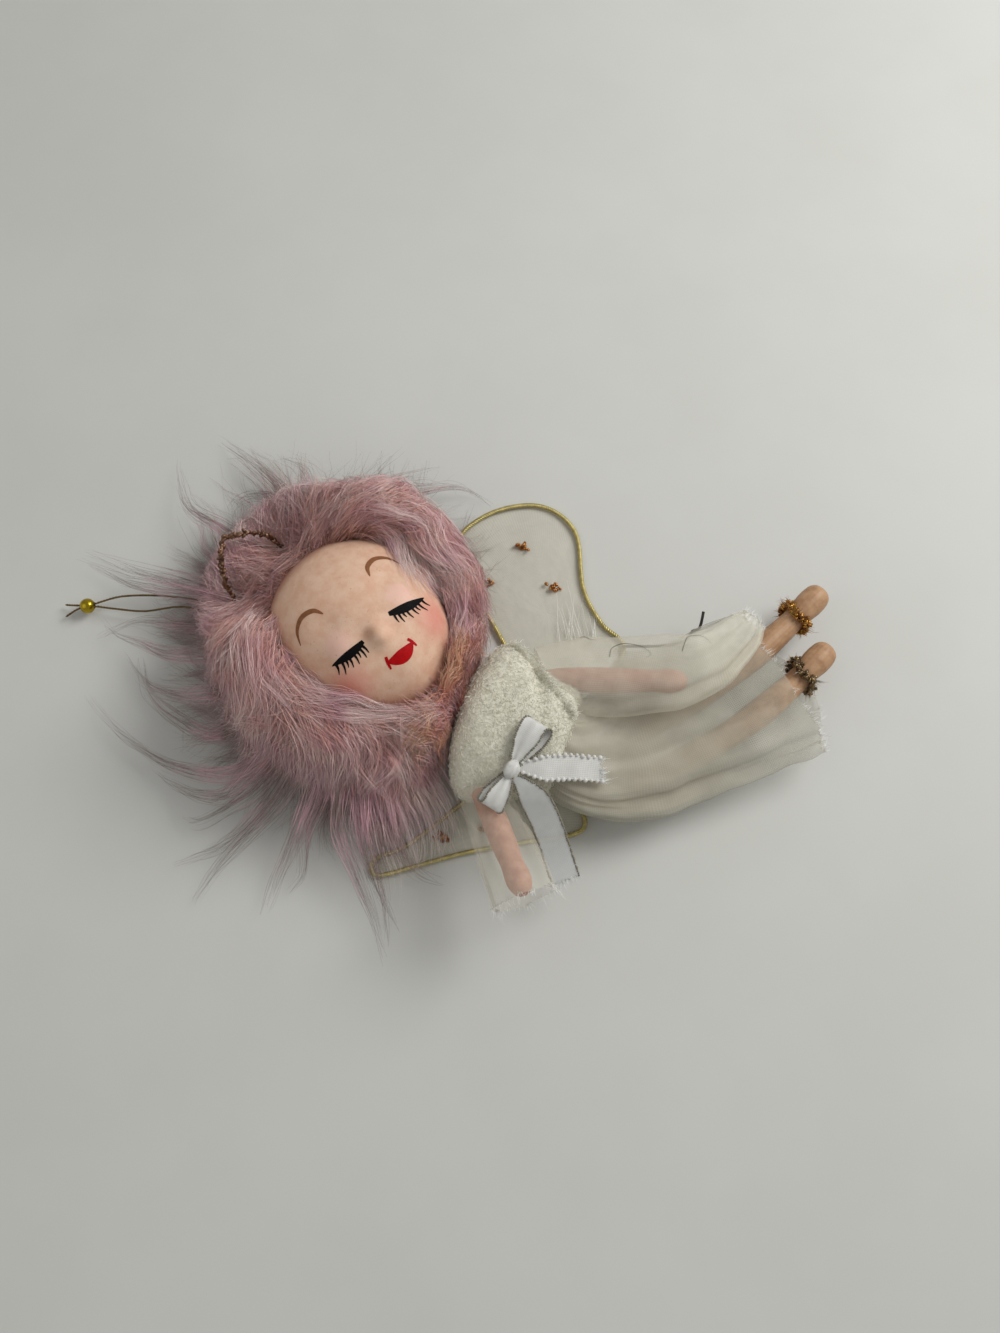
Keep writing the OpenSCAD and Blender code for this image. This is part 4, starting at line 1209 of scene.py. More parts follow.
class ORNAMENT_OT_hair(bpy.types.Operator):
    """Make the pile of hair, its locks and its loose ends"""

    bl_idname = "ornament.hair"
    bl_label = "Hair"

    def execute(self, context):
        s = settings("hair")
        half = s.fibre / MM
        tone = fibre_finish("hair", s.root, s.middle, s.patch, s.tip, 0.26)
        # hairline fibres: reddish, with painted shade darkening them toward the roots where the hair
        # overhangs the forehead
        warm = fibre_finish("warm_hair_shaded_roots", darker(s.warm, 0.42), darker(s.warm, 0.75), s.root, s.middle, 0.35)
        grey = fibre_finish("loose_hair", s.middle, s.loose, s.patch, darker(s.loose, 0.8), 0.35)
        curly = fibre_finish("neck_hair", s.warm, s.neck, s.warm, s.neck, 0.2)
        ends = fibre_finish("edge_hair", s.middle, s.patch, s.middle, s.loose, 0.25)
        solid = mottled_finish("hair_core", s.middle, s.root, 2.0, 0.3, 0.8, 0.3)
        rides(closed_object("hair_core", hair_core_rings(), solid), "head", "hair", "hair")
        guides = hair_guides(random.Random(s.seed))
        made = 0
        # name, finish, pieces, copies of each line, points, spread at root and tip, frizz and its size
        for name, material, parts, copies, points, root, tip, frizz, wave in (
            ("hair_neck", curly, 1, 18, 8, 1.2, 1.4, 3.0, 3.5),
            ("hair_coat", tone, 2, 20, 6, 1.8, 1.5, 2.0, 7),
            ("hair_locks", tone, 4, 80, 10, 2.9, 0.6, 1.3, 9),
            ("hair_tufts", tone, 2, 32, 8, 1.7, 0.4, 1.1, 8),
            ("hairline", warm, 1, 14, 7, 0.9, 1.3, 1.6, 5),
            ("hair_cheek", tone, 1, 16, 8, 0.9, 1.2, 1.8, 6),
            ("hair_edge", ends, 1, 26, 10, 2.0, 0.5, 1.4, 12),
            ("hair_stream", ends, 1, 52, 10, 2.6, 0.5, 1.2, 12),
            ("hair_fall", tone, 1, 34, 12, 2.4, 0.8, 1.4, 10),
            ("hair_strays", grey, 1, 4, 12, 1.0, 2.4, 3.0, 12),
        ):
            sizes = {"copies": copies, "points": points, "root_spread": root, "tip_spread": tip}
            sizes |= {"frizz": frizz, "frizz_size": wave, "shortest": 0.4, "half_width": half}
            seed = s.seed + 4 * made
            for part in range(parts):
                word = "_" + "abcd"[part] if parts > 1 else ""
                lines = guides[name][part::parts]
                piece = grown(name + word, "Fibres", lines, material, **sizes, seed=seed + part)
                rides(piece, "head", "hair")
            made += parts
        lines = [loose_guide(route) for route in LOOSE_LOCKS]
        loose = grown(
            "hair_loose_locks", "Fibres", lines, grey, seed=s.seed + 12, copies=44, points=24,
            root_spread=2.6, tip_spread=0.7, frizz=2.0, frizz_size=14, shortest=0.5, half_width=half * 1.2,
        )
        rides(loose, "head", "hair", "hair_wisps")
        return {"FINISHED"}


# Tiara
class ORNAMENT_OT_tiara(bpy.types.Operator):
    """Make the beaded tiara on the crown"""

    bl_idname = "ornament.tiara"
    bl_label = "Tiara"

    def execute(self, context):
        copper = bead_finish("tiara_beads", screen(150, 116, 92), screen(84, 60, 46), 0.45)
        path = [tiara_point(a) for a in range(-4, 186, 2)]
        beads = grown(
            "tiara_beads", "Beads", [path], copper, seed=3, spacing=0.9, size=0.75, stretch=1.7, scatter=0.45,
            turn=1.2, per_place=3,
        )
        rides(beads, "head", "copper_bead", "tiara_beads")
        dress(metal_finish("tiara_wire", screen(140, 108, 86), screen(80, 58, 46), 0.4), "tiara_wire")
        return {"FINISHED"}


# Hanging loop
HANG_BEAD_AT = Vector((-99.6, -1.9, 2.4))
HANG_TURN = 205
THREAD_D = 0.5


def strand_path(side):
    """Route of one strand of the hanging loop, from the crown through the bead to its cut end."""
    root = HEAD_AT + HEAD_UP * (HEAD_HALF[1] - 1.5)
    n = polar(HANG_TURN - 90) * (THREAD_D / 2 + 0.07) * side
    way = polar(HANG_TURN)
    route = [
        root + Vector((0, 1.2 * side, 0)),
        (-59, 7.4 + side, 13),
        (-68, 4.2 + side, 9),
        (-79, 4.2 + side, 5.6),
        (-87, 2.4 + 1.9 * side, 3.4),
        (-93.5, 0.8 + 1.5 * side, 2.6),
        HANG_BEAD_AT - way * 3 + n * 2,
        HANG_BEAD_AT - way * 1.6 + n,
        HANG_BEAD_AT + way * 1.6 + n,
        HANG_BEAD_AT + polar(HANG_TURN - 12 * side) * 5 + n - Vector((0, 0, 1.2)),
    ]
    return spline(route, 4)


class ORNAMENT_OT_hanger(bpy.types.Operator):
    """Make the hanging loop of metal thread and its bead"""

    bl_idname = "ornament.hanger"
    bl_label = "Hanging loop"

    def execute(self, context):
        s = settings("metal")
        yarn = metal_finish("hanging_thread", s.thread, darker(s.thread, 0.5), 0.45, 0.8, 0.7)
        for word, side in (("a", -1), ("b", 1)):
            path = strand_path(side)
            cord = grown(
                "hanging_thread_" + word, "Twisted cord", [path], yarn, strands=2, pitch=1.3, step=0.16,
                radius=0.11, strand_radius=0.14,
            )
            rides(cord, "head", "thread", "hang_strand_" + word)
        dress(metal_finish("gold_bead", s.bead, darker(s.bead, 0.6), 0.25), "hang_bead")
        return {"FINISHED"}


# Body
# stations of the bodice: middle, direction, half width and half height
BODICE = [
    ((-15.2, CHEST[0], CHEST[1] + 0.5), 0, 6.5, 4.4),
    ((-14.4, CHEST[0], CHEST[1] + 0.5), 0, 9.5, 6.3),
    ((-12.6, CHEST[0], CHEST[1]), 0, 14.0, 8.2),
    ((-9.5, CHEST[0], CHEST[1]), 0, 16.3, 9.1),
    ((-4, CHEST[0], CHEST[1]), 0, 14.2, 9.6),
    ((1, CHEST[0], CHEST[1]), 0, 12.0, 9.3),
    ((5, CHEST[0], CHEST[1] - 0.2), 0, 11.2, 8.8),
    ((6.2, CHEST[0], CHEST[1] - 0.4), 0, 9.6, 7.5),
]
BODICE_STEPS = 6
BODICE_SIDES = 90
# how square the bodice is across: 2 is an oval
BODICE_SQUARE = 2.3
# frayed edge of the left armhole, seen from above, from the shoulder to the waist
ARMHOLE = [(-10.4, 12, 0), (-6.5, 10.2, 0), (-2.4, 7.3, 0), (0.6, 4.5, 0), (4.1, 1.9, 0), (5.6, 0.4, 0)]
ARMHOLE_THREADS = 150


def stations(given, steps):
    """Stations (middle, direction, half width, half height) filled in between the given ones."""
    middles = spline([q[0] for q in given], steps)
    sizes = spline([q[1:] for q in given], steps)
    return [(c, v.x, v.y, v.z) for c, v in zip(middles, sizes)]


BODICE_STATIONS = stations(BODICE, BODICE_STEPS)


def swell(c, across, f, wide, high, exponent):
    """Point of a soft ring round c, at angle f."""
    side = across * wide * power(math.cos(f), exponent)
    return c + side + Vector((0, 0, high * power(math.sin(f), exponent)))


def bodice_rings():
    rings = []
    for c, turn, w, h in BODICE_STATIONS:
        ring = []
        for f in turns(BODICE_SIDES):
            p = swell(c, polar(turn + 90), f, w, h, 2 / BODICE_SQUARE)
            n = noise.noise(p * 0.2) * 0.5 + noise.noise(p * 0.6) * 0.16
            crease = math.exp(-(((p.x + 1 + 0.25 * (p.y - 2)) / 1.4) ** 2))
            crease *= smooth((p.y + 2) / 6) * smooth((p.z - 12) / 4)
            ring.append(p + (p - c).normalized() * (n - 0.9 * crease))
        rings.append(ring)
    return rings


def bodice_top(x, y):
    """Height of the bodice over a point."""
    c, _, w, h = min(BODICE_STATIONS, key=lambda q: abs(q[0].x - x))
    side = min(1, abs(y - c.y) / w)
    return c.z + h * (1 - side**BODICE_SQUARE) ** (1 / BODICE_SQUARE)


def armhole_lines():
    """Loose threads that stick out of the left armhole's edge."""
    pick = random.Random(6)
    edge = spline(ARMHOLE, 6)
    lines = []
    for _ in range(ARMHOLE_THREADS):
        p = along(edge, pick.random())
        way = polar(pick.gauss(48, 28)) * pick.uniform(0.8, 2.6)
        root = raised(p, bodice_top(p.x, p.y) - 0.2)
        lines.append([root, root + way * 0.5 + ABOVE * 0.7, root + way + ABOVE * pick.uniform(-0.6, 0.8)])
    return lines


class ORNAMENT_OT_bodice(bpy.types.Operator):
    """Make the plush bodice and finish the neck and core"""

    bl_idname = "ornament.bodice"
    bl_label = "Bodice"

    def execute(self, context):
        s = settings("cloth")
        base = mottled_finish("plush_ground", s.plush, darker(s.plush, 0.88), 1.6, 0.3, 0.9, 0.25)
        bodice = closed_object("bodice_plush", bodice_rings(), base)
        root, patch, tip = darker(s.plush, 0.92), darker(s.plush, 0.93), screen(242, 240, 230)
        fleece = fibre_finish("fleece", root, s.plush, patch, tip, 0.12, 0.8, 3.0)
        copy = bpy.data.objects.new("fleece_base", bodice.data.copy())
        fuzz = grown(
            "bodice_fleece", "Fuzz", copy, fleece, seed=5, density=9.6e6, length=0.82, half_width=0.036,
            lean=1.0,
        )
        lace = grown(
            "armhole_threads", "Fibres", armhole_lines(), fleece, seed=8, copies=4, points=6, root_spread=0.4,
            tip_spread=0.6, frizz=0.8, frizz_size=1.5, shortest=0.4, half_width=0.06,
        )
        rides(lace, "torso", "plush")
        rides(bodice, "torso", "plush", "bodice", "torso")
        rides(fuzz, "torso", "plush")
        neck = mottled_finish("neck_cloth", screen(214, 150, 128), screen(188, 118, 100), 1.2, 0.3, 0.8, 0.1)
        dress(neck, "neck")
        dress(mottled_finish("dowel", screen(206, 176, 132), screen(176, 140, 96), 1.5, 0.3, 0.7), "neck_peg")
        return {"FINISHED"}


# Limbs
# each leg: hip, direction and how far it bows outwards
LEGS = {"left": (HIP_LEFT, 56, 2), "right": (HIP_RIGHT, 52.5, 3)}
LEG_LENGTH = 51
# the anklets' place along the leg, their radius, points round it and threads in the fringe
ANKLET_AT = 42.5
ANKLET_R = 3.1
ANKLET_POINTS = 72
FRINGE_THREADS = 90


class ORNAMENT_OT_limbs(bpy.types.Operator):
    """Finish the arms, legs and their staples"""

    bl_idname = "ornament.limbs"
    bl_label = "Arms and legs"

    def execute(self, context):
        pink = mottled_finish("arm_paint", screen(200, 150, 128), screen(174, 118, 98), 2.2, 0.4, 0.55)
        tan = mottled_finish("leg_paint", screen(186, 148, 113), screen(156, 116, 84), 2.2, 0.4, 0.5)
        steel = metal_finish("steel_wire", screen(176, 176, 180), screen(120, 120, 124), 0.35)
        dark = metal_finish("dark_wire", screen(60, 54, 50), screen(34, 30, 28), 0.5, 1.0, 0.6)
        dress(pink, "arm_left", "arm_right")
        dress(tan, "leg_left", "leg_right")
        dress(steel, "shoulder_staple_left", "shoulder_staple_right", "hip_staple_left", "hip_staple_right")
        dress(dark, "tie_wire")
        return {"FINISHED"}


def anklet_ring(word):
    """Points round a leg, with the direction out from it and along it at each."""
    hip, turn, bow = LEGS[word]
    way, across = polar(turn), polar(turn + 90)
    middle = hip + way * ANKLET_AT - across * bow * math.sin(math.pi * ANKLET_AT / LEG_LENGTH)
    ring = []
    for i in range(ANKLET_POINTS + 1):
        a = 2 * math.pi * i / ANKLET_POINTS
        out = across * math.cos(a) + ABOVE * math.sin(a)
        ring.append((middle + way * 0.6 * math.sin(3 * a) + out * ANKLET_R, out, way))
    return ring


def fringe_lines(ring, seed):
    """Threads that stick out of an anklet."""
    pick = random.Random(seed)
    lines = []
    for _ in range(FRINGE_THREADS):
        p, out, way = ring[pick.randrange(ANKLET_POINTS)]
        lie = (out * pick.uniform(0.3, 1) + way * pick.uniform(-1, 0.7)).normalized() * pick.uniform(1, 2.8)
        lines.append([p - out * 0.4, p + lie * 0.5 + out * 0.3, p + lie])
    return lines


class ORNAMENT_OT_anklets(bpy.types.Operator):
    """Make the beaded anklets and their fringes"""

    bl_idname = "ornament.anklets"
    bl_label = "Anklets"

    def execute(self, context):
        s = settings("metal")
        copper = fibre_finish("copper_fringe", darker(s.copper, 0.5), s.copper, s.bead, s.copper, 0.4)
        tones = (screen(120, 98, 76), screen(176, 160, 136), screen(140, 116, 84), screen(196, 186, 168))
        beige = fibre_finish("beige_fringe", *tones, 0.3)
        for word, light, dark, fringe, seed in (
            ("left", screen(214, 160, 76), darker(s.copper, 0.35), copper, 11),
            ("right", screen(150, 124, 84), screen(98, 80, 62), beige, 12),
        ):
            ring = anklet_ring(word)
            path = [p for p, *_ in ring]
            finished = bead_finish("anklet_beads_" + word, light, dark, 0.3)
            beads = grown(
                "anklet_beads_" + word, "Beads", [path], finished, seed=seed, spacing=0.6, size=0.7,
                stretch=1.9, scatter=0.65, turn=3.0, per_place=5,
            )
            rides(beads, "leg_" + word, "copper_bead", "anklet_" + word)
            threads = grown(
                "anklet_fringe_" + word, "Fibres", fringe_lines(ring, seed), fringe, seed=seed, copies=5,
                points=5, root_spread=0.4, tip_spread=0.5, frizz=0.6, frizz_size=1.5, shortest=0.4,
                half_width=0.06,
            )
            rides(threads, "leg_" + word, "copper_bead")
        return {"FINISHED"}


# Skirt and sleeves
# stations of the skirt: middle, direction, half width and half height
SKIRT = [
    ((3.2, CHEST[0], 11.5), 0, 9.2, 7.3),
    ((8.2, CHEST[0] - 0.8, 10.5), 8, 10.6, 7),
    ((13.6, -0.2, 8.2), 20, 14, 6.3),
    ((20, 5, 7), 32, 16.2, 6.2),
    ((28, 11, 6.6), 40, 15.6, 5.9),
    ((35.4, 18.1, 6.6), 45, 16.2, 6),
    ((42.9, 24.6, 6.6), 47, 16.2, 6),
]
SKIRT_STEPS = 8
SKIRT_SIDES = 216
# the lining ends one station short of the skirt's hem
LINING_STATIONS = 6
# the hem of the back layer swings out in the middle by this much
HEM_SWING = 8
# gathers round the waist, and their depth in mm
GATHER_COUNT = 24
GATHER_DEPTH = 0.45
# sheer cloth is a little square across, and lies this far above the table
CLOTH_ROUND = 0.86
SKIRT_LOW = 0.35
SLEEVE_LOW = 0.4
FRAY_LOW = 0.3
# the left sleeve: a balloon round the arm that trails off over the leg
SLEEVE_LEFT = [
    ((-1.5, 8, 15), 40, 7.2, 4.2),
    ((3.5, 9.8, 15.4), 32, 7.8, 4.6),
    ((8.5, 11.6, 15.8), 27, 8.3, 4.8),
    ((14, 13.2, 16.4), 25, 8, 4.8),
    ((21, 16, 17.8), 27, 7.7, 4.4),
    ((26.5, 19, 18.4), 34, 6.4, 3.8),
    ((30, 23.8, 16.8), 50, 5.2, 3),
    ((32.6, 29, 15), 60, 4.2, 2.4),
    ((34.3, 33.6, 13.2), 64, 2.6, 1.6),
]
# the right sleeve: a bell that hangs below the arm
SLEEVE_TURN = -52
SLEEVE_RISE = math.radians(20)
SLEEVE_WAY = polar(SLEEVE_TURN) * math.cos(SLEEVE_RISE) + ABOVE * math.sin(SLEEVE_RISE)
SLEEVE_RIGHT = [
    (
        SHOULDER_RIGHT + SLEEVE_WAY * (4 + 26.5 * t) - ABOVE * 3.5 * t**2,
        SLEEVE_TURN,
        mix(4.6, 6.2, smooth(0.95 * t)),
        mix(3.4, 7.2, t**2),
    )
    for t in (0, 0.25, 0.5, 0.75, 1)
]
SLEEVE_SIDES = 72
# loose loops of the gathering thread on the left sleeve, seen from above, in mm
GATHERS = [
    [(0.5, 17.0), (2.0, 18.0), (3.0, 18.0), (4.5, 17.3), (6, 17.5)],
    [(9.2, 14.3), (9.1, 16.1), (10.9, 17.6), (13.6, 18.0), (15.6, 17.6), (16.6, 16.8), (15.6, 15.7)],
    [(22.2, 19.1), (22.2, 21), (22.5, 22.6), (24.0, 23.4), (25.6, 23.6), (27.1, 23)],
]


def skirt_rows(given, shrink, lift):
    """Rows of a skirt down from the waist, drawn in from the full size by shrink and lift."""
    rows = []
    made = stations(given, SKIRT_STEPS)
    for i, (c, turn, w, h) in enumerate(made):
        s = i / (len(made) - 1)
        across = polar(turn + 90)
        swing = HEM_SWING * smooth((i / SKIRT_STEPS - 3.6) / 2.4)
        ring = []
        for f in turns(SKIRT_SIDES):
            lane = Vector((2.2 * math.cos(f), 2.2 * math.sin(f), 0.9 * s))
            fold = (2.2 * noise.noise(lane) + 1.0 * noise.noise(lane * 2.3)) * smooth(s * 1.6)
            wave = math.sin(GATHER_COUNT * f + 5 * noise.noise(lane * 1.2))
            fold += GATHER_DEPTH * wave * smooth(s * 8) * smooth(1.15 - s * 2.2)
            v = (w - shrink + fold) * power(math.cos(f), CLOTH_ROUND)
            p = c + across * v
            p += Vector((0, 0, (h - lift + fold * 0.55) * power(math.sin(f), CLOTH_ROUND)))
            p += polar(turn) * swing * max(0, 1 - ((v + 2) / 15) ** 2) * smooth(0.5 - 0.5 * math.sin(f))
            p += noise.noise_vector(p * 0.16) * 0.6 * smooth(s * 2)
            ring.append(raised(p, max(SKIRT_LOW, p.z)))
        rows.append(ring)
    return rows


def sleeve_rows(given, steps):
    rows = []
    made = stations(given, steps)
    for i, (c, turn, w, h) in enumerate(made):
        s = i / (len(made) - 1)
        ring = []
        for f in turns(SLEEVE_SIDES):
            fold = (0.45 * math.cos(6 * f + 1 + s) + 0.25 * math.cos(11 * f + 4 * s)) * smooth(s * 1.5)
            p = swell(c, polar(turn + 90), f, w + fold, h + fold * 0.6, CLOTH_ROUND)
            p += noise.noise_vector(p * 0.2) * 0.5
            ring.append(raised(p, max(SLEEVE_LOW, p.z)))
        rows.append(ring)
    return rows


def frayed(name, rows, material, seed, count, reach):
    """Loose threads along the last row of a cloth."""
    pick = random.Random(seed)
    lines = []
    for _ in range(count):
        j = pick.randrange(len(rows[-1]))
        p = rows[-1][j]
        stray = Vector((pick.gauss(0, 0.4), pick.gauss(0, 0.4), pick.gauss(0, 0.25)))
        way = (p - rows[-3][j]).normalized() + stray
        run = pick.uniform(0.3, 1) * reach
        line = [p - way * 0.3, p + way * run * 0.5, p + way * run]
        lines.append([raised(q, max(FRAY_LOW, q.z)) for q in line])
    return grown(
        name, "Fibres", lines, material, seed=seed, copies=2, points=5, root_spread=0.15, tip_spread=0.4,
        frizz=0.7, frizz_size=2, shortest=0.4, half_width=0.04,
    )


def thread_finish(name, rgb):
    white = screen(242, 241, 236)
    return fibre_finish(name, rgb, white, white, white, 0.15, 0.5)


def gather_lines(sleeve):
    """Lines of the gathering thread, laid on top of the sleeve."""
    lines = []
    for route in GATHERS:
        line = []
        for p in spline([(x, y, 0) for x, y in route], 5):
            hit, place, *_ = sleeve.ray_cast(raised(p, 100) * MM, -ABOVE)
            if hit:
                line.append(place / MM + ABOVE * 0.15)
        lines.append(line)
    return [line for line in lines if len(line) > 2]


class ORNAMENT_OT_skirt(bpy.types.Operator):
    """Make the sheer skirt and its lining"""

    bl_idname = "ornament.skirt"
    bl_label = "Skirt"

    def execute(self, context):
        s = settings("cloth")
        sheer = sheer_finish("organza", s.organza, s.sheer, fade=(24, 48, 0.6))
        cotton = sheer_finish("lining", s.lining, 0.62, fade=(14, 34, 0.0))
        rows = skirt_rows(SKIRT, 0, 0)
        skirt = cloth_object("skirt_organza", rows, sheer, wrap=True)
        inner = skirt_rows(SKIRT[:LINING_STATIONS], 1.2, 0.85)
        lining = cloth_object("skirt_lining", inner, cotton, wrap=True)
        yarn = thread_finish("skirt_thread", s.organza)
        fray = frayed("skirt_threads", rows, yarn, seed=41, count=260, reach=1.6)
        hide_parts("skirt")
        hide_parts("underskirt")
        for obj, slot in ((skirt, "organza"), (lining, "lining"), (fray, "organza")):
            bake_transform(obj)
        return {"FINISHED"}


class ORNAMENT_OT_sleeves(bpy.types.Operator):
    """Make the sheer sleeves"""

    bl_idname = "ornament.sleeves"
    bl_label = "Sleeves"

    def execute(self, context):
        s = settings("cloth")
        yarn = thread_finish("sleeve_thread", s.organza)
        twine = screen(118, 110, 98)
        dark = fibre_finish("gather_thread", twine, twine, darker(twine, 0.8), twine, 0.15, 0.5)
        for word, given, steps, shoulder, turn, stop, seed in (
            ("left", SLEEVE_LEFT, 5, SHOULDER_LEFT, 13.5, 0.74, 43),
            ("right", SLEEVE_RIGHT, 8, SHOULDER_RIGHT, SLEEVE_TURN, 0.46, 44),
        ):
            rows = sleeve_rows(given, steps)
            sheer = sheer_finish("sleeve_" + word, s.gauze, s.sheer * stop)
            obj = cloth_object("sleeve_organza_" + word, rows, sheer, wrap=True)
            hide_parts("sleeve_" + word)
            pieces = [obj, frayed("sleeve_threads_" + word, rows, yarn, seed, count=130, reach=2.0)]
            if word == "left":
                gathers = grown(
                    "gather_threads", "Fibres", gather_lines(obj), dark, seed=45, copies=1, points=32,
                    root_spread=0, tip_spread=0, frizz=0.3, frizz_size=3, shortest=1.0, half_width=0.07,
                    flat=False,
                )
                pieces.append(gathers)
            for piece in pieces:
                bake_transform(piece)
        return {"FINISHED"}


# Wings
WING_Z = 0.8
# outlines and glitter of the wings, seen from above
WING_LEFT = [(0, 3), (-8, 12.5), (-20.5, 25), (-30, 36), (-26, 45.5), (-16, 51), (-6.7, 47.5), (-1, 35)]
WING_LEFT += [(5, 28.5), (11, 24.5), (9, 13), (4.5, 5)]
WING_RIGHT = [(0, -3), (-9, -15), (-18, -28.5), (-23.5, -33.5), (-22, -36.5), (-14, -31.5), (-6.3, -26.5)]
WING_RIGHT += [(4, -21), (14, -15), (9, -8), (4.5, -4.5)]
WING_DOTS = [(-16.4, 40.6), (-7.2, 33.1), (-21.5, 30), (-12.5, -25.5), (-4.5, -21)]
WING_RINGS = 14
# ends of the row of pulled threads in the left wing
PULLED = (Vector((-3.6, 24.6, 0.9)), Vector((4.4, 26.4, 0.9)))
PULLED_THREADS = 30


def wing_sheet(outline):
    """Rows from the middle of a wing out to its edge."""
    edge = spline([(x, y, 0) for x, y in outline], 10, closed=True)
    middle = sum(edge, Vector()) / len(edge)
    rows = []
    for i in range(WING_RINGS + 1):
        t = max(i / WING_RINGS, 0.003)
        row = []
        for p in edge:
            q = mix(middle, p, t * 1.025)
            wave = 0.35 + 0.35 * noise.noise(q * 0.12) + 0.15 * noise.noise(q * 0.5)
            row.append(raised(q, max(0.05, wave * smooth((1.05 - t) * 6))))
        rows.append(row)
    return rows


def pulled_lines():
    """Threads pulled out of the left wing's weave, side by side."""
    pick = random.Random(22)
    lines = []
    for _ in range(PULLED_THREADS):
        p = mix(*PULLED, pick.random())
        way = polar(pick.gauss(113, 7)) * pick.uniform(4, 18)
        lines.append([p - way * 0.25, p + way * 0.35 + polar(20) * pick.gauss(0, 0.5), p + way * 0.75])
    return lines


class ORNAMENT_OT_wings(bpy.types.Operator):
    """Make the gauze wings with their gold cord and glitter"""

    bl_idname = "ornament.wings"
    bl_label = "Wings"

    def execute(self, context):
        s, m = settings("cloth"), settings("metal")
        sheer = sheer_finish("wing_gauze", s.gauze, s.sheer * 0.9)
        gold = metal_finish("gold_cord", m.gold, darker(m.gold, 0.6), 0.4, 1.0, 0.8)
        copper = bead_finish("wing_glitter", screen(208, 152, 84), darker(m.copper, 0.7), 0.3)
        for word, outline in (("left", WING_LEFT), ("right", WING_RIGHT)):
            obj = cloth_object("wing_gauze_" + word, wing_sheet(outline), sheer, wrap=True)
            rides(obj, "torso", "organza")
            path = spline([(x, y, WING_Z) for x, y in outline], 8, closed=True)
            cord = grown(
                "wing_cord_" + word, "Twisted cord", [path + path[:1]], gold, strands=3, pitch=1.6, step=0.2,
                radius=0.24, strand_radius=0.26,
            )
            rides(cord, "torso", "gold_cord", "wing_wire_" + word)
        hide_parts("wing_gauze")
        spots = [[(x - 0.9, y, 0.6), (x, y + 0.3, 0.7), (x + 0.9, y, 0.6)] for x, y in WING_DOTS]
        dots = grown(
            "wing_glitter", "Beads", spots, copper, seed=21, spacing=0.5, size=0.7, stretch=1.5, scatter=0.75,
            turn=3.0, per_place=4,
        )
        rides(dots, "torso", "copper_bead", "wing_dots")
        pale = thread_finish("wing_thread", s.gauze)
        threads = grown(
            "wing_threads", "Fibres", pulled_lines(), pale, seed=22, copies=1, points=10, root_spread=0.2,
            tip_spread=0.5, frizz=0.8, frizz_size=5, shortest=0.6, half_width=0.045,
        )
        rides(threads, "torso", "organza")
        return {"FINISHED"}


# Bow
RIBBON_W = 5.5
# points across the ribbon, as shares of its width from its middle
RIBBON_ACROSS = [k / 8 - 0.5 for k in range(9)]
LOOP_STEPS = 40
# the bow leans with the chest under it, and its knot lies askew
BOW_LEAN = math.radians(10)
KNOT_TURN = math.radians(-12)
KNOT_RINGS = 24
KNOT_SIDES = 36
# tails: points from the knot, direction, lean across it, and share of the ribbon's width
TAILS = [
    ([(0.7, 0.6, 0.2), (4.9, 1.8, 0.0), (9.9, 4.2, -1.8), (15.9, 6.4, -4.4)], 24, 0.4, 0.84),
    ([(0.7, -0.9, -0.1), (4.7, -2.9, -1.3), (9.2, -6.6, -6.0), (15.6, -14.4, -12.6)], -50, 0.0, 1.0),
]


def bow_frame(p):
    """Point of the bow in the ornament's frame."""
    c, s = math.cos(BOW_LEAN), math.sin(BOW_LEAN)
    return BOW_AT + Vector((p[0], p[1] * c - p[2] * s, p[1] * s + p[2] * c))


def loop_rows(turn, reach, flare):
    """Flattened ribbon loop from the knot out and back."""
    way, side = polar(turn), polar(turn + 90)
    rows = []
    for i in range(LOOP_STEPS + 1):
        a = 2 * math.pi * i / LOOP_STEPS
        out = reach / 2 * (1 - math.cos(a)) + 0.6
        high = 1.15 * math.sin(a) * math.sin(a / 2) ** 1.2
        w = mix(1.5, RIBBON_W * flare, smooth(out / reach * 1.25))
        shift = side * 0.75 * math.sin(a / 2) * (1 if a < math.pi else -1) * smooth(abs(a - math.pi) / 0.6)
        row = []
        for k, x in enumerate(RIBBON_ACROSS):
            ripple = Vector((0, 0, high + 0.16 * math.cos(k * 1.6)))
            row.append(bow_frame(way * out + shift + side * w * x + ripple))
        rows.append(row)
    return rows


def tail_rows(points, turn, lean, share):
    line = spline([BOW_AT + Vector(p) for p in points], 10)
    across = (polar(turn - 90) - Vector((0, 0, lean))).normalized()
    rows = []
    for i, p in enumerate(line):
        w = mix(1.4, RIBBON_W * share, smooth(i / 14))
        rows.append([p + across * w * x for x in RIBBON_ACROSS])
    return rows


def knot_rings():
    """Pleated knot of the bow."""
    c, s = math.cos(KNOT_TURN), math.sin(KNOT_TURN)
    rings = []
    for i in range(1, KNOT_RINGS):
        b = math.pi * i / KNOT_RINGS
        ring = []
        for a in turns(KNOT_SIDES):
            r = 1.5 * math.sin(b) * (1 + 0.07 * math.cos(5 * a + 1))
            x, y = r * math.cos(a), 2.0 * math.cos(b)
            ring.append(bow_frame((x * c - y * s, x * s + y * c, r * math.sin(a))))
        rings.append(ring)
    return rings


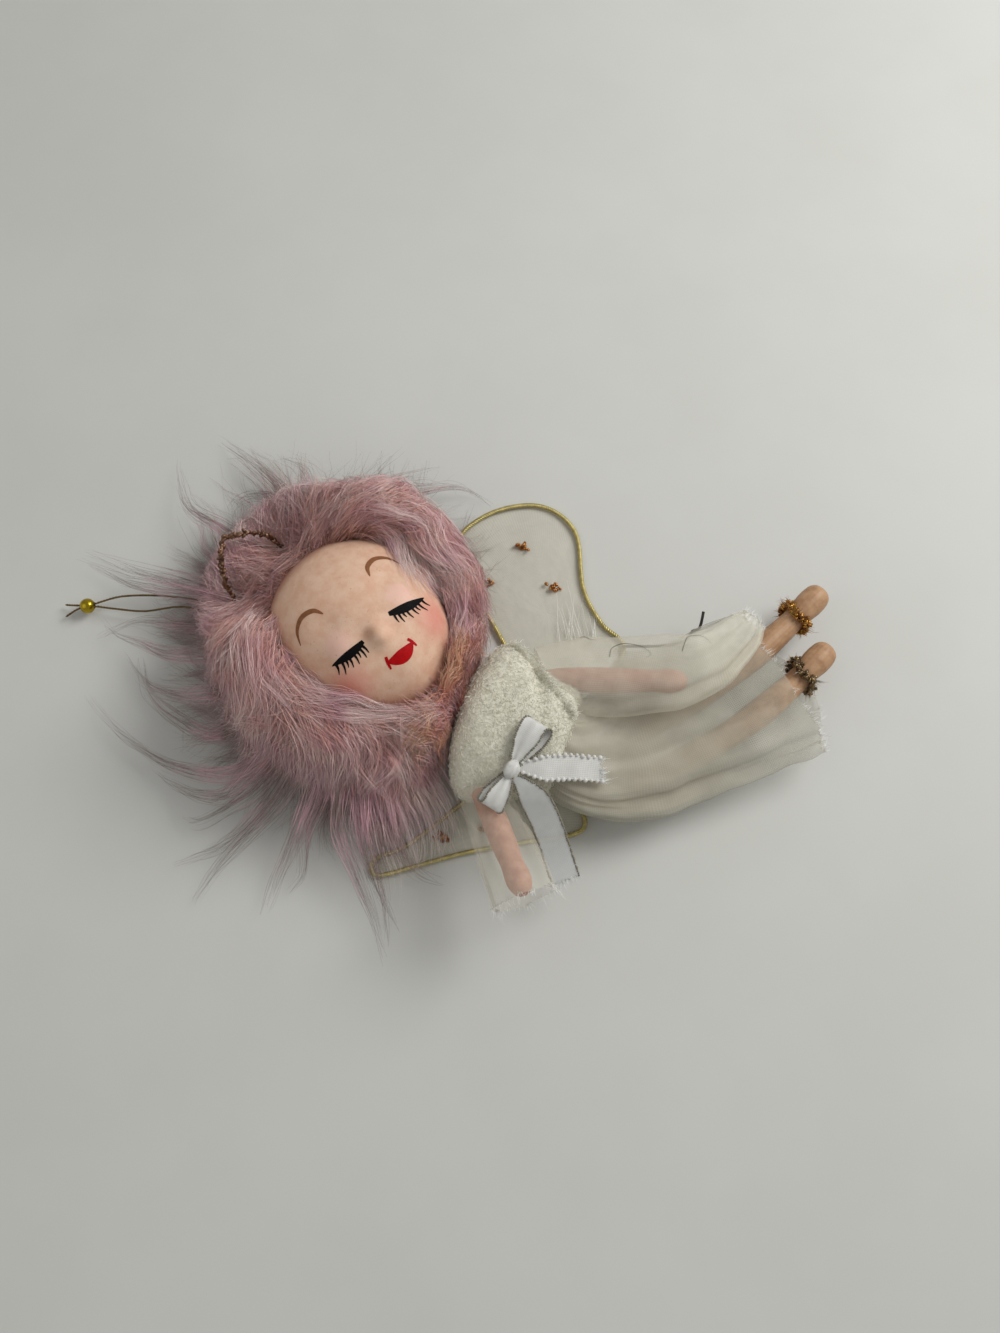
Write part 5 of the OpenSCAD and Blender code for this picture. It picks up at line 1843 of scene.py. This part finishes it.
class ORNAMENT_OT_bow(bpy.types.Operator):
    """Make the picot ribbon bow"""

    bl_idname = "ornament.bow"
    bl_label = "Bow"

    def execute(self, context):
        s = settings("cloth")
        satin = woven_finish("ribbon", s.ribbon, darker(s.ribbon, 0.78), 0.36, 0.38, 0.5, 0.3)
        grey, white = screen(140, 134, 118), screen(238, 239, 237)
        cord = fibre_finish("edge_yarn", grey, screen(176, 170, 154), grey, screen(190, 185, 172), 0.3, 0.4)
        picot = fibre_finish("picot_yarn", s.ribbon, white, screen(232, 234, 234), white, 0.15, 0.4)
        thin = sheer_finish("thin_ribbon", screen(208, 211, 210), 0.68)
        loops = [loop_rows(76, 9.6, 0.86), loop_rows(256, 7.6, 0.74)]
        tails = [tail_rows(*tail) for tail in TAILS]
        for word, rows, material, node in (
            ("loop_a", loops[0], satin, "bow_loops"),
            ("loop_b", loops[1], satin, "bow_loops"),
            ("tail_a", tails[0], satin, "bow_tails"),
            ("tail_b", tails[1], thin, "bow_tails"),
        ):
            obj = rides(cloth_object("bow_" + word, rows, material), "torso", "ribbon", node)
        for word, made, yarn, spacing, size in (
            ("fine", loops + tails[1:], cord, 0.42, 0.5),
            ("wide", tails[:1], picot, 1.15, 0.95),
        ):
            edges = [[row[side] for row in rows] for rows in made for side in (0, -1)]
            beads = grown(
                "bow_picots_" + word, "Beads", edges, yarn, seed=31, spacing=spacing, size=size, stretch=0.85,
                scatter=0.06, turn=0.5, per_place=1,
            )
            rides(beads, "torso", "ribbon")
        for word, rows, seed in (("a", tails[0], 33), ("b", tails[1], 34)):
            rides(frayed("tail_threads_" + word, rows, picot, seed, count=70, reach=2.2), "torso", "ribbon")
        pleated = mottled_finish("knot", s.ribbon, darker(s.ribbon, 0.75), 0.8, 0.2, 0.45, 0.1)
        rides(closed_object("bow_knot_ribbon", knot_rings(), pleated), "torso", "ribbon", "bow_knot")
        return {"FINISHED"}


# Stage
CAMERA_EYE = Vector((14.86, -71.64, 244.32))
CAMERA_TARGET = Vector((-12.61, 12.93, 0))
# the photo's focal length and height in pixels, and the camera's sensor in mm
PHOTO_FOCAL = 1238.1
PHOTO_HEIGHT = 1333
SENSOR = 36
# nearest that the camera sees, in metres
CLIP_START = 0.005
BOARD_HALF = 8000
WORLD_COLOUR = (1, 1, 0.985, 1)
WORLD_STRENGTH = 0.34
LAMP_TARGET = Vector((-15, 0, 0))
# lamps: name, place, size in metres and watts
LAMPS = (("key", Vector((265, 300, 360)), 0.3, 1.98), ("fill", Vector((-300, -260, 360)), 0.5, 0.3))


def aimed(name, data, place, target):
    """Object at a place in mm that looks at a target."""
    obj = link(bpy.data.objects.new(name, data))
    obj.location = place * MM
    obj.rotation_euler = (target - place).to_track_quat("-Z", "Y").to_euler()
    return obj


class ORNAMENT_OT_stage(bpy.types.Operator):
    """Set the camera, the pale board and the soft light"""

    bl_idname = "ornament.stage"
    bl_label = "Stage"

    def execute(self, context):
        scene = context.scene
        scene.view_settings.view_transform = "Standard"
        camera = bpy.data.cameras.new("camera")
        camera.sensor_width = SENSOR
        camera.lens = SENSOR * PHOTO_FOCAL / PHOTO_HEIGHT
        camera.clip_start = CLIP_START
        scene.camera = aimed("camera", camera, CAMERA_EYE, CAMERA_TARGET)
        material, tree, shader = finish("pale_board", specular_ior_level=0.1)
        tone = effect(tree, "Mottle", light=screen(209, 209, 204), dark=screen(205, 205, 199), blotch=60.0)
        grained(tree, shader, tone["Color"], 0.8, (0.75, 0.9))
        corners = [Vector((x, y, 0)) * BOARD_HALF for x, y in ((-1, -1), (1, -1), (1, 1), (-1, 1))]
        mesh_object("board", corners, [(0, 1, 2, 3)], material)
        world = bpy.data.worlds.new("studio")
        world.use_nodes = True
        sky = world.node_tree.nodes["Background"].inputs
        sky["Color"].default_value = WORLD_COLOUR
        sky["Strength"].default_value = WORLD_STRENGTH
        scene.world = world
        for name, place, size, watts in LAMPS:
            lamp = bpy.data.lights.new(name, "AREA")
            lamp.shape = "DISK"
            lamp.size = size
            lamp.energy = watts
            aimed(name, lamp, place, LAMP_TARGET)
        return {"FINISHED"}


# Add-on
OPERATORS = (
    ORNAMENT_OT_stage,
    ORNAMENT_OT_hanger,
    ORNAMENT_OT_head,
    ORNAMENT_OT_hair,
    ORNAMENT_OT_tiara,
    ORNAMENT_OT_bodice,
    ORNAMENT_OT_limbs,
    ORNAMENT_OT_anklets,
    ORNAMENT_OT_skirt,
    ORNAMENT_OT_sleeves,
    ORNAMENT_OT_wings,
    ORNAMENT_OT_bow,
)
SETTINGS = {"head": HeadSettings, "hair": HairSettings, "cloth": ClothSettings, "metal": MetalSettings}


class ORNAMENT_PT_panel(bpy.types.Panel):
    """Lists the ornament's pieces in the order they are made"""

    bl_label = "Ornament"
    bl_space_type = "VIEW_3D"
    bl_region_type = "UI"
    bl_category = "Ornament"

    def draw(self, context):
        for operator in OPERATORS:
            self.layout.operator(operator.bl_idname)
        for name, group in SETTINGS.items():
            box = self.layout.box()
            for key in group.__annotations__:
                box.prop(settings(name), key)


def register():
    for name, group in SETTINGS.items():
        bpy.utils.register_class(group)
        setattr(bpy.types.Scene, "ornament_" + name, PointerProperty(type=group))
    for cls in (*OPERATORS, ORNAMENT_PT_panel):
        bpy.utils.register_class(cls)


def unregister():
    for cls in reversed((*OPERATORS, ORNAMENT_PT_panel)):
        bpy.utils.unregister_class(cls)
    for name, group in SETTINGS.items():
        delattr(bpy.types.Scene, "ornament_" + name)
        bpy.utils.unregister_class(group)


def main():
    register()
    for operator in OPERATORS:
        group, name = operator.bl_idname.split(".")
        getattr(getattr(bpy.ops, group), name)()


if __name__ == "__main__":
    main()
